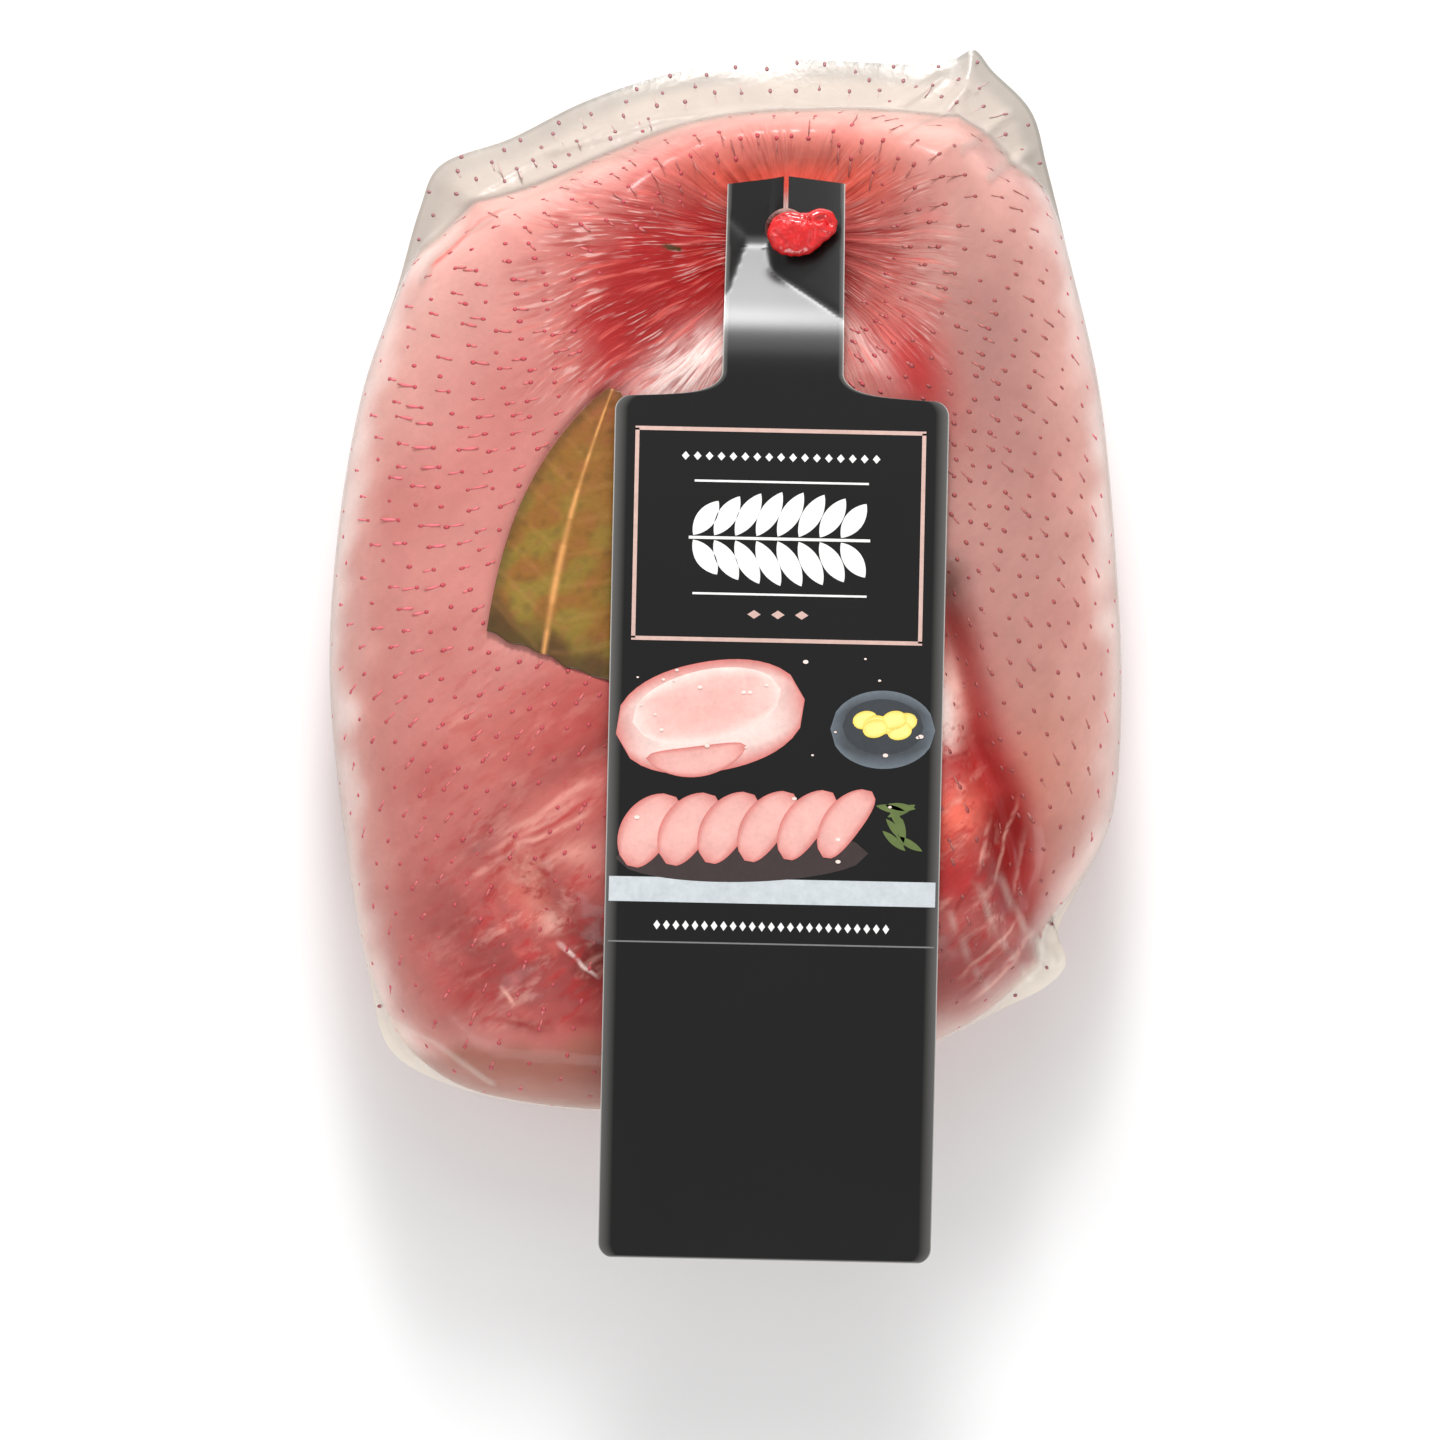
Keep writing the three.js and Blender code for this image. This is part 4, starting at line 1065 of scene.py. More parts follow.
def strokes_surface(strokes):
    """Printed shapes as thin slabs on the card. Each stroke has a middle line from one point to
    another, bent by a parabola, and a half width of w (1 - |t|^p)^q along it, so that one formula
    gives bars, lozenges, ovals and leaves."""
    n, m = 20, 6
    t = np.linspace(-1, 1, n + 1)[None, :, None]
    u = np.linspace(-1, 1, m + 1)[None, None, :]
    a = np.array([s["ends"] for s in strokes], float)
    keys = ("width", "p", "q", "bend", "layer")
    width, p, q, bend, layer = (
        np.array([s[key] for s in strokes], float)[:, None, None] for key in keys
    )
    start, end = a[:, :2], a[:, 2:]
    axis = end - start
    length = np.linalg.norm(axis, axis=1, keepdims=True)
    axis = axis / length
    half = width * np.where(p > 50, 1, np.clip(1 - np.abs(t) ** p, 0, 1) ** q)
    sideways = half * u + bend * (1 - t**2)
    forward = t * length[:, :, None] / 2
    middle = (start + end) / 2
    across = middle[:, 0, None, None] + axis[:, 0, None, None] * forward \
        - axis[:, 1, None, None] * sideways
    along = middle[:, 1, None, None] + axis[:, 1, None, None] * forward \
        + axis[:, 0, None, None] * sideways
    lift = np.broadcast_to(0.03 + 0.02 * layer, across.shape)
    shape = across.shape
    upper = tag_place(across.ravel(), along.ravel(), lift.ravel())
    lower = tag_place(across.ravel(), along.ravel(), np.full(across.size, -0.1))
    inner = np.array([s["inner"] for s in strokes])[:, None, None]
    outer = np.array([s["outer"] for s in strokes])[:, None, None]
    core = np.clip(1 - np.maximum(np.abs(u), np.abs(t)) ** 4, 0, 1)[..., None]
    tone = np.broadcast_to(outer + (inner - outer) * core, (*shape, 3)).reshape(-1, 3)
    per = (n + 1) * (m + 1)
    total = per * len(strokes)
    quads = grid_quads(n, m, flip=True)
    top = (np.arange(len(strokes))[:, None, None] * per + quads).reshape(-1, 4)
    low = top[:, ::-1] + total
    ring = np.concatenate([
        np.arange(m), m + np.arange(n) * (m + 1), per - 1 - np.arange(m),
        per - 1 - m - np.arange(n) * (m + 1),
    ])
    nxt = np.roll(ring, -1)
    wall = np.stack([ring, nxt, nxt + total, ring + total], axis=1)
    walls = (np.arange(len(strokes))[:, None, None] * per + wall).reshape(-1, 4)
    every = np.concatenate([top, low, walls])
    points = np.concatenate([upper, lower])
    return points, every.ravel(), np.full(len(every), 4), np.concatenate([tone, tone])


def stroke(x0, y0, x1, y1, width, colour, inner=None, p=2.0, q=0.5, bend=0.0, layer=0):
    """One printed shape from (x0, y0) to (x1, y1), across and along the card."""
    return {
        "ends": (x0, y0, x1, y1), "width": width, "outer": colour, "inner": inner or colour,
        "p": p, "q": q, "bend": bend, "layer": layer,
    }


def bar(x0, y0, x1, y1, width, colour, layer=0):
    """A straight bar with square ends."""
    return stroke(x0, y0, x1, y1, width, colour, p=60, q=0.5, layer=layer)


def frame_strokes(colour):
    """The thin rectangular frame: four bars."""
    left, right, low, high, width = -30.2, 29.9, 130.2, 174.2, 0.42
    return [
        bar(left - width, low, right + width, low, width, colour),
        bar(left - width, high, right + width, high, width, colour),
        bar(left, low, left, high, width, colour),
        bar(right, low, right, high, width, colour),
    ]


def ornament_strokes(white, foil):
    """What stands in the frame: two rules, a row of small lozenges above them, a sprig of paired
    leaves between them and three small lozenges below."""
    made = [bar(-18, 163.4, 18.5, 163.4, 0.22, white), bar(-18, 139.8, 18.5, 139.8, 0.22, white)]
    for x in np.linspace(-20, 20, 17):
        made.append(stroke(x - 0.8, 168.6, x + 0.8, 168.6, 0.9, white, p=1, q=1))
    for k, x in enumerate(np.linspace(-15.5, 15.5, 8)):
        lean = 2.6
        size = 4.8 - 0.09 * abs(k - 3.5) ** 2
        made.append(stroke(x - lean, 152, x + lean, 152 + size * 1.95, 2.0, white, p=2, q=0.9))
        made.append(stroke(x - lean, 151, x + lean, 151 - size * 1.95, 2.0, white, p=2, q=0.9))
    made.append(bar(-19, 151.5, 19, 151.5, 0.3, white))
    for x in (-5, 0, 5):
        made.append(stroke(x - 1.4, 135.6, x + 1.4, 135.6, 0.9, foil, p=1, q=1))
    return made


def picture_strokes(palette):
    """The printed picture: a board of slices on the right, a cut joint on the left, a small dark
    dish with a yellow dab, crumbs, sprigs and a pale cloth along the bottom."""
    rng = np.random.default_rng(41)
    pink, rose, ivory = palette["print_pink"], palette["print_rose"], palette["print_ivory"]
    made = [bar(-34.2, 77.6, 34.2, 77.6, 2.6, palette["print_cloth"])]
    made.append(stroke(-33, 84, 20, 86, 5.5, palette["print_shade"], p=2, q=0.5, layer=1))
    made.append(stroke(-33.4, 110, 6, 118, 11.5, rose, inner=ivory, p=2.2, q=0.45, layer=2))
    made.append(stroke(-30, 112.5, 1, 120, 7.5, ivory, inner=pink, p=2, q=0.5, layer=3))
    made.append(stroke(-27, 105, -6, 108, 3.2, rose, inner=pink, p=2, q=0.6, bend=-2, layer=4))
    for k in range(6):
        x = -26 + 8.2 * k
        made.append(stroke(x - 4.5, 82.5 + 0.5 * k, x + 5.5, 97 + 0.4 * k, 5.2 - 0.25 * k,
                           rose, inner=pink, p=2.1, q=0.5, bend=1.2, layer=4 + k))
    made.append(stroke(11.5, 112, 33.5, 112, 8.2, palette["print_dish_rim"],
                       inner=palette["print_dish"], p=2, q=0.5, layer=2))
    made.append(stroke(14, 112.6, 31, 112.6, 5.8, palette["print_dish"], p=2, q=0.5, layer=3))
    for k in range(7):
        x, y = 22.5 + rng.uniform(-5, 5), 112.5 + rng.uniform(-2.2, 2.2)
        made.append(stroke(x - 2.6, y - 0.6, x + 2.6, y + 0.6, 1.9, palette["print_yellow"],
                           inner=palette["print_lemon"], p=2, q=0.5, layer=4 + k))
    for k in range(26):
        x, y = rng.uniform(-32, 32), rng.uniform(81, 127)
        size = rng.uniform(0.25, 0.6)
        made.append(stroke(x - size, y, x + size, y, size * 0.7, ivory, p=2, q=0.5, layer=11))
    for k in range(9):
        x, y, turn = 27 + rng.uniform(-3, 3), 92 + rng.uniform(-6, 6), rng.uniform(0, 3.1)
        dx, dy = 3.2 * math.cos(turn), 3.2 * math.sin(turn)
        made.append(stroke(x - dx, y - dy, x + dx, y + dy, 0.8, palette["print_green"],
                           p=2, q=0.9, layer=5 + k % 4))
    made.append(bar(-34.2, 66.6, 34.2, 66.6, 0.16, palette["print_rule"]))
    for x in np.linspace(-24, 24, 25):
        made.append(stroke(x - 0.7, 70.2, x + 0.7, 70.2, 1.0, palette["print_white"], p=1, q=1))
    return made


# The clip

CLIP_LOBES = ((13.5, 86.6, 4.7), (16.5, 86.3, 4.1), (20.3, 88.6, 3.4))
CLIP_MIDDLE = (16.2, 87.4)
CLIP_HEIGHT = 55.5
# Furrows in the clip's top, as routes in plan with a depth and a half width
CLIP_FURROWS = (
    (((10.6, 89.6), (13.0, 90.2), (16.2, 89.7), (17.6, 89.1)), 0.45, 0.55),
    (((17.0, 91.0), (17.6, 89.1), (18.5, 87.0), (18.2, 84.6)), 0.5, 0.6),
    (((10.4, 86.8), (11.4, 85.6), (12.6, 84.4)), 0.3, 0.5),
    (((19.6, 89.4), (21.0, 89.6), (21.9, 88.6)), 0.9, 0.75),
    (((14.2, 87.2), (15.0, 85.2), (15.0, 83.4)), 0.22, 0.5),
    (((20.2, 86.9), (21.6, 86.4)), 0.3, 0.5),
)


def clip_reach(angle):
    """Distance from the clip's middle to its outline: the last step along each direction that is
    inside the smooth union of the lobes."""
    r = np.linspace(0, 9, 900)[:, None]
    x = CLIP_MIDDLE[0] + r * np.cos(angle)
    y = CLIP_MIDDLE[1] + r * np.sin(angle)
    depths = [size - np.hypot(x - cx, y - cy) for cx, cy, size in CLIP_LOBES]
    inside = smooth_max(smooth_max(depths[0], depths[1], 2), depths[2], 2) > 0
    return r[:, 0][len(r) - 1 - np.argmax(inside[::-1], axis=0)]


def clip_surface():
    """The clip as a closed bean. Rings follow the outline and are rounded over as a superellipse;
    furrows and fine dents lower the upper half."""
    rings, around = 60, 200
    angle = np.arange(around) * 2 * math.pi / around
    tilt = math.pi * np.arange(1, rings)[:, None] / rings
    share = np.sin(tilt) ** (2 / 2.3)
    rise = np.sign(np.cos(tilt)) * np.abs(np.cos(tilt)) ** (2 / 2.3)
    wrinkle = 1 - 0.012 * (1 + np.sin(17 * angle + 2 * np.sin(3 * angle)))
    r = clip_reach(angle) * wrinkle * share
    x = CLIP_MIDDLE[0] + r * np.cos(angle)
    y = CLIP_MIDDLE[1] + r * np.sin(angle)
    low = 0.05 * (1 + plan_noise(x, y, 1.3, 9) / 2)
    for route, depth, width in CLIP_FURROWS:
        gap = route_distance(x, y, route)
        low = low + depth * np.exp(-(gap / width) ** 2)
    z = CLIP_HEIGHT + 2.5 * rise - np.clip(low, 0, 1.4) * smooth(0.1, 0.7, rise)
    points = np.concatenate([
        [[*CLIP_MIDDLE, CLIP_HEIGHT + 2.44]], np.stack([x, y, z], axis=2).reshape(-1, 3),
        [[*CLIP_MIDDLE, CLIP_HEIGHT - 2.5]],
    ])
    corners, sizes = ring_faces(rings - 1, around)
    return points, corners, sizes


# Materials

class Wire:
    """A node's output socket. Arithmetic on it adds Math nodes to its material."""

    def __init__(self, finish, socket):
        self.finish, self.socket = finish, socket

    def maths(self, operation, first, second):
        return self.finish.node(
            "ShaderNodeMath", {"operation": operation}, {0: first, 1: second}
        )

    def __add__(self, other):
        return self.maths("ADD", self, other)

    def __sub__(self, other):
        return self.maths("SUBTRACT", self, other)

    def __rsub__(self, other):
        return self.maths("SUBTRACT", other, self)

    def __mul__(self, other):
        return self.maths("MULTIPLY", self, other)

    __radd__, __rmul__ = __add__, __mul__


class Finish:
    """A material in the making."""

    def __init__(self, name):
        self.material = bpy.data.materials.new(name)
        self.material.use_nodes = True
        self.tree = self.material.node_tree
        self.tree.nodes.clear()

    def node(self, kind, settings=None, values=None, output=0):
        """A node of that kind with its settings made first and its sockets then set or linked."""
        node = self.tree.nodes.new(kind)
        for key, value in (settings or {}).items():
            setattr(node, key, value)
        for key, value in (values or {}).items():
            if isinstance(value, Wire):
                self.tree.links.new(value.socket, node.inputs[key])
            else:
                node.inputs[key].default_value = value
        return Wire(self, node.outputs[output]) if len(node.outputs) else node

    def attribute(self, name, output="Color"):
        return self.node("ShaderNodeAttribute", {"attribute_name": name}, output=output)

    def place(self):
        return self.node("ShaderNodeTexCoord", output="Object")

    def noise(self, scale, detail=3.0, roughness=0.55, vector=None):
        """Noise of 0 to 1 over the piece. The scale is in cycles a metre."""
        values = {"Vector": vector or self.place(), "Scale": scale, "Detail": detail,
                  "Roughness": roughness}
        return self.node("ShaderNodeTexNoise", None, values, output="Fac")

    def shade(self, colour, amount):
        """The colour made lighter or darker by a number that is about 1."""
        grey = self.node("ShaderNodeCombineColor", None, {0: amount, 1: amount, 2: amount})
        return self.node(
            "ShaderNodeMix", {"data_type": "RGBA", "blend_type": "MULTIPLY"},
            {0: 1.0, 6: colour, 7: grey}, output=2,
        )

    def mix(self, first, second, factor):
        return self.node(
            "ShaderNodeMix", {"data_type": "RGBA"}, {0: factor, 6: first, 7: second}, output=2
        )

    def ramp(self, value, low, high):
        """0 where the value is low and 1 where it is high, smoothly between."""
        return self.node(
            "ShaderNodeMapRange", {"interpolation_type": "SMOOTHSTEP"},
            {"Value": value, "From Min": low, "From Max": high},
        )

    def turned(self, place, angle, stretch):
        """Places for a texture that is stretched along its own axes and then turned about the
        upright axis."""
        return self.node(
            "ShaderNodeMapping", {"vector_type": "TEXTURE"},
            {"Vector": place, "Rotation": (0, 0, math.radians(angle)), "Scale": stretch},
        )

    def streak(self, place, start, end, width):
        """1 on the line between two points of the plan, falling to 0 at its half width and at its
        ends: the length of what is left when the nearest point of the line is taken away."""
        a = np.array([*start, 0.0]) * MM
        d = np.array([*end, 0.0]) * MM - a
        flat = self.vector("MULTIPLY", place, (1.0, 1.0, 0.0))
        away = self.vector("SUBTRACT", flat, tuple(a))
        share = self.vector("DOT_PRODUCT", away, tuple(d / (d @ d)), output="Value")
        share = self.node("ShaderNodeClamp", None, {0: share})
        near = self.node("ShaderNodeVectorMath", {"operation": "SCALE"}, {0: tuple(d), 3: share})
        left = self.vector("SUBTRACT", away, near)
        gap = self.vector("LENGTH", left, (0.0, 0.0, 0.0), output="Value")
        ends = self.ramp(share, 0.0, 0.3) * self.ramp(share, 1.0, 0.75)
        return self.ramp(gap, 1.8 * width * MM, 0.1 * width * MM) * ends

    def vector(self, operation, first, second, output="Vector", third=(0.0, 0.0, 0.0)):
        return self.node(
            "ShaderNodeVectorMath", {"operation": operation}, {0: first, 1: second, 2: third}, output
        )

    def round_gather(self, place):
        """Places as the angle round the gather and the distance from it, a little wavy. The angle
        starts below the gather, where the tag's neck covers it."""
        gather = (GATHER_X * MM, GATHER_Y * MM, 0.0)
        away = self.vector("SUBTRACT", self.vector("MULTIPLY", place, (1.0, 1.0, 0.0)), gather)
        parts = self.node("ShaderNodeSeparateXYZ", None, {0: away})
        up = Wire(self, parts.socket.node.outputs[1])
        angle = self.node("ShaderNodeMath", {"operation": "ARCTAN2"}, {0: parts, 1: up})
        angle = angle + 0.22 * self.noise(34.0, 1.0, 0.5, place)
        radius = self.vector("LENGTH", away, (0.0, 0.0, 0.0), output="Value")
        return self.node("ShaderNodeCombineXYZ", None, {0: angle, 1: radius * 2.6})

    def bump(self, height, strength, distance):
        return self.node(
            "ShaderNodeBump", None,
            {"Height": height, "Strength": strength, "Distance": distance},
        )

    def surface(self, **values):
        """The finished surface: a Principled node with these sockets."""
        named = {key.replace("_", " "): value for key, value in values.items()}
        shader = self.node("ShaderNodeBsdfPrincipled", None, named)
        self.node("ShaderNodeOutputMaterial", None, {"Surface": shader})
        return self.material


def rgba(colour):
    return (*colour, 1.0)


def film_finish(colours):
    """Clear film: almost nothing where it lies on meat, milky where its haze value is high."""
    finish = Finish("clear film")
    haze = finish.attribute("haze", "Fac")
    wrinkle = finish.noise(260.0, 3.0)
    cloud = finish.noise(70.0, 2.0)
    alpha = haze * (0.75 + 0.5 * cloud)
    # the film's tint: lighter towards the lower end as painted light, greyer past the top end and along
    # its edge as painted shade
    cream = finish.attribute("cream", "Fac")
    tint = finish.mix(rgba(colours.film), rgba(colours.film_painted_light), cream)
    tint = finish.mix(tint, rgba(colours.film_painted_shade), finish.attribute("grey", "Fac"))
    tint = finish.mix(tint, rgba(colours.clip_dark), finish.attribute("brine", "Fac"))
    return finish.surface(
        Base_Color=tint, Roughness=0.24, IOR=1.38, Alpha=alpha,
        Normal=finish.bump(wrinkle, 0.35, 0.0006),
    )


def gathered(finish, place, colour, palette):
    """Lays fine pleats over a colour where the pleats attribute is high: noise drawn out along
    lines that run to the gather, as dark gaps, red strands and a few pale ones, the pale ones a
    painted highlight on the pleats' ridges. Also gives the strands' height."""
    pleats = finish.attribute("pleats", "Fac")
    drawn = finish.round_gather(place)
    broad = finish.noise(30.0, 2.0, 0.5, drawn)
    thin = finish.noise(58.0, 2.0, 0.5, drawn)
    patchy = finish.noise(75.0, 2.0, 0.5, place)
    dark = finish.ramp(broad, 0.5, 0.36) * pleats
    colour = finish.mix(colour, rgba(palette["dark_red"]), dark * finish.ramp(patchy, 0.3, 0.6) * 0.6)
    red = finish.ramp(broad, 0.54, 0.66) * pleats
    colour = finish.mix(colour, rgba(palette["strand"]), red * 0.38)
    # pale strands: painted highlight on the ridges of the pleats
    light = finish.ramp(thin, 0.55, 0.65) * finish.ramp(patchy, 0.4, 0.62) * pleats
    colour = finish.mix(colour, rgba(palette["pale_strand_and_highlight"]), light * 0.38)
    lines = finish.ramp(thin, 0.46, 0.36) * pleats
    return finish.mix(colour, rgba(palette["flesh"]), lines * 0.4), (broad + thin) * pleats


def meat_finish(palette):
    """Cured meat under film: the painted colours with fine mottling, flecks of fat and dark
    flesh where it is raw, and thin marks, moist and a little soft."""
    finish = Finish("cured meat")
    place = finish.place()
    coarse = finish.noise(110.0, 4.0)
    fine = finish.noise(620.0, 3.0)
    raw = finish.attribute("raw", "Fac")
    colour = finish.attribute("tone")
    colour, strands = gathered(finish, place, colour, palette)
    along = finish.turned(place, 36.0, (2.6, 1.0, 1.0))
    flecks = finish.noise(230.0, 4.0, 0.6, along)
    specks = finish.noise(360.0, 3.0, 0.6, along)
    colour = finish.mix(colour, rgba(palette["fat"]), finish.ramp(flecks, 0.5, 0.72) * raw * 0.34)
    dark = finish.ramp(specks, 0.5, 0.34) * raw * 0.6
    colour = finish.mix(colour, rgba(palette["flesh"]), dark)
    wander = finish.node("ShaderNodeTexNoise", None, {"Vector": place, "Scale": 90.0}, "Color")
    bent = finish.vector("MULTIPLY_ADD", wander, (0.004, 0.004, 0.0), third=place)
    bent = finish.vector("SUBTRACT", bent, (0.002, 0.002, 0.0))
    height = finish.node("ShaderNodeSeparateXYZ", None, {0: place}, output=2)
    shown = finish.ramp(specks, 0.25, 0.6) * finish.ramp(height, 0.018, 0.026)
    for name, strength, width, start, end in MARKS:
        mark = finish.streak(bent, start, end, width) * shown * strength
        colour = finish.mix(colour, rgba(palette[name]), mark)
    fibre = finish.noise(560.0, 3.0, 0.6, finish.turned(place, 42.0, (4.0, 1.0, 1.0)))
    amount = 0.8 + 0.16 * coarse + 0.1 * fine + 0.16 * fibre + 0.3 * raw * (fibre - 0.5)
    colour = finish.shade(colour, amount)
    relief = finish.noise(300.0, 4.0) + 0.7 * flecks * raw + 1.2 * strands
    return finish.surface(
        Base_Color=colour, Roughness=0.36 + 0.2 * coarse, IOR=1.24,
        Coat_Weight=0.3, Coat_Roughness=0.16, Coat_IOR=1.42,
        Subsurface_Weight=0.12, Subsurface_Radius=(1.0, 0.35, 0.25), Subsurface_Scale=0.004,
        Normal=finish.bump(relief, 0.3, 0.0007),
    )


def prick_finish():
    """The pricks: dull spots of the painted colour."""
    finish = Finish("prick marks")
    amount = 0.85 + 0.3 * finish.noise(900.0, 2.0)
    return finish.surface(
        Base_Color=finish.shade(finish.attribute("tone"), amount), Roughness=0.5, IOR=1.3,
    )


def leaf_finish():
    """A dried leaf: the painted colours with fine flecks and a leathery surface."""
    finish = Finish("dried leaf")
    flecks = finish.noise(700.0, 4.0)
    patches = finish.noise(160.0, 3.0)
    colour = finish.shade(finish.attribute("tone"), 0.75 + 0.3 * flecks + 0.2 * patches)
    return finish.surface(
        Base_Color=colour, Roughness=0.4 + 0.25 * patches, IOR=1.3, Coat_Weight=0.4,
        Coat_Roughness=0.16, Coat_IOR=1.42,
        Normal=finish.bump(flecks, 0.5, 0.0004),
    )


def card_finish(colours):
    """Laminated card: near-black print with faint mottling, and bare board at the cut edge."""
    finish = Finish("laminated card")
    mottle = finish.noise(45.0, 3.0)
    grain = finish.noise(1500.0, 2.0)
    rim = finish.attribute("rim", "Fac")
    ink = finish.shade(rgba(colours.card), 0.85 + 0.3 * mottle)
    return finish.surface(
        Base_Color=finish.mix(ink, rgba(colours.board), rim), Roughness=0.38 + 0.08 * mottle,
        IOR=1.3, Coat_Weight=0.7, Coat_Roughness=0.24, Coat_IOR=1.42,
        Normal=finish.bump(grain, 0.08, 0.0002),
    )


def print_finish():
    """Printed ink under the same laminate, with the mottling of printed food."""
    finish = Finish("printed ink")
    coarse = finish.noise(330.0, 4.0)
    fine = finish.noise(1100.0, 2.0)
    colour = finish.shade(finish.attribute("tone"), 0.72 + 0.36 * coarse + 0.2 * fine)
    return finish.surface(
        Base_Color=colour, Roughness=0.3 + 0.1 * fine, IOR=1.32, Coat_Weight=0.6,
        Coat_Roughness=0.12, Coat_IOR=1.46,
    )


def clip_finish(colours):
    """Red lacquer, darker in random mottles."""
    finish = Finish("red lacquer")
    wear = finish.noise(480.0, 4.0)
    colour = finish.mix(rgba(colours.clip), rgba(colours.clip_dark), wear * 0.9)
    return finish.surface(
        Base_Color=colour, Roughness=0.18 + 0.14 * wear, Coat_Weight=0.8, Coat_Roughness=0.08,
        Normal=finish.bump(finish.noise(750.0, 3.0), 0.5, 0.0005),
    )


def floor_finish(colours):
    """Matt pale paper with very faint mottling."""
    finish = Finish("studio floor")
    cloud = finish.noise(6.0, 2.0)
    return finish.surface(
        Base_Color=finish.shade(rgba(colours.floor), 0.985 + 0.03 * cloud), Roughness=0.8,
    )


# What a user may change

def colour_property(name, description, red, green, blue):
    return bpy.props.FloatVectorProperty(
        name=name, description=description, default=srgb(red, green, blue), size=3,
        min=0.0, max=1.0, subtype="COLOR",
    )


class PackColours(bpy.types.PropertyGroup):
    """Colours of the pack's pieces."""

    skin: colour_property("Skin", "Most of the cured skin", 196, 126, 118)
    # Pale skin is laid in random patches and along the sides; along the sides it is partly painted rim
    # light
    pale: colour_property("Pale skin", "The fat under the skin at the sides", 226, 170, 160)
    beige: colour_property("Beige skin", "The smooth band on the right", 184, 135, 126)
    warm: colour_property("Warm skin", "The lower right side", 190, 124, 105)
    blush: colour_property("Blush", "Redder skin near the tag", 174, 72, 68)
    flesh: colour_property("Flesh", "Red flesh round the gather and the creases", 170, 24, 28)
    dark_red: colour_property("Dark red", "The deepest red in the creases", 142, 0, 2)
    fat: colour_property("Fat", "Lumps of fat", 246, 186, 170)
    orange: colour_property("Orange flesh", "Orange-pink flesh", 238, 112, 92)
    dark_flesh: colour_property("Dark flesh", "The torn end", 112, 0, 4)
    hot: colour_property("Hot red", "The reddest pleats, above the tag", 255, 96, 76)
    rim: colour_property("Rim", "The lower rim of the meat", 162, 92, 76)
    # White edge: a painted rim highlight along the skin's very edge, also laid over a fat lump as painted
    # light against the tag's shadow
    white: colour_property("White edge", "The whitest skin at the very edge", 255, 235, 228)
    shade: colour_property("Shaded skin", "Darker skin at the upper right", 152, 106, 100)
    cream: colour_property("Cream", "Fat under the film at the top", 232, 196, 182)
    mauve: colour_property("Mauve flesh", "Flesh below the crevice", 158, 68, 66)
    strand: colour_property("Strand", "Pleats of film over red flesh", 232, 112, 102)
    # Pale strand: a painted highlight on the pleats' ridges and beside the neck, and a few pale lines
    pale_strand_and_highlight: colour_property("Pale strand", "The brightest pleats", 255, 226, 219)
    film: colour_property("Film", "The milky film", 202, 187, 176)
    # Film edge: painted shade on the slack film past the top end, darkest along its edge
    film_painted_shade: colour_property("Film edge", "The edge of the slack film", 152, 148, 140)
    # Lower film: painted light on the film towards the lower end
    film_painted_light: colour_property("Lower film", "The milky film at the lower corners", 255, 246, 232)
    prick: colour_property("Prick", "Pricks over meat", 196, 78, 88)
    prick_pale: colour_property("Pale prick", "Pricks in empty film", 170, 118, 122)
    streak: colour_property("Streak", "Streaks over meat", 210, 108, 108)
    prick_rim: colour_property("Pink prick", "Pricks at the sides", 220, 62, 92)
    prick_brown: colour_property("Brown prick", "Pricks on the right", 156, 84, 80)
    streak_brown: colour_property("Brown streak", "Streaks on the right", 176, 112, 104)
    streak_pink: colour_property("Pink streak", "Streaks at the left side", 246, 122, 136)
    streak_pale: colour_property("Pale streak", "Streaks in empty film", 206, 176, 172)
    leaf: colour_property("Leaf", "The dried leaf", 138, 90, 24)
    leaf_green: colour_property("Leaf green", "Greener parts of the leaf", 134, 112, 34)
    leaf_red: colour_property("Leaf red", "The leaf's end by the gather", 148, 82, 48)
    leaf_dark: colour_property("Leaf dark", "The leaf's edges", 66, 44, 8)
    leaf_vein: colour_property("Leaf vein", "The midrib", 228, 160, 92)
    card: colour_property("Card", "The tag's ground", 6, 6, 6)
    board: colour_property("Board", "The card's cut edge", 190, 188, 184)
    clip: colour_property("Clip", "The clip's lacquer", 236, 22, 26)
    clip_dark: colour_property("Clip dark", "Dents in the lacquer", 150, 4, 6)
    floor: colour_property("Floor", "The studio floor", 244, 244, 244)


class PackSizes(bpy.types.PropertyGroup):
    """Sizes of the studio."""

    camera_height: bpy.props.FloatProperty(
        name="Camera height", description="Height of the camera over the floor",
        default=1.0, unit="LENGTH",
    )
    camera_lens: bpy.props.FloatProperty(
        name="Camera lens", description="Focal length on a 36 mm sensor", default=112.3,
    )
    light_height: bpy.props.FloatProperty(
        name="Light height", description="Height of the large soft light", default=0.52,
        unit="LENGTH",
    )


PRINT_COLOURS = {
    "print_white": srgb(236, 236, 234),
    "print_foil": srgb(205, 172, 162),
    "print_ivory": srgb(238, 218, 210),
    "print_pink": srgb(232, 178, 170),
    "print_rose": srgb(204, 116, 110),
    "print_shade": srgb(62, 50, 50),
    "print_cloth": srgb(196, 202, 206),
    "print_dish": srgb(58, 62, 66),
    "print_dish_rim": srgb(104, 112, 120),
    "print_yellow": srgb(236, 204, 84),
    "print_lemon": srgb(246, 232, 140),
    "print_green": srgb(96, 112, 62),
    "print_rule": srgb(120, 120, 120),
}


def colours():
    """The colours that the sidebar shows."""
    return bpy.context.scene.pack_colours


def palette():
    """The colours as a dictionary of linear values."""
    chosen = {key: tuple(getattr(colours(), key)) for key in PackColours.__annotations__}
    return {**chosen, **PRINT_COLOURS}


def finish_piece(piece, material, slot, *nodes):
    """Gives a piece its material and body, and hides the CAD solids that it stands for."""
    piece.data.materials.append(material)
    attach(piece, "root")
    if nodes:
        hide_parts(*nodes)


# Operators

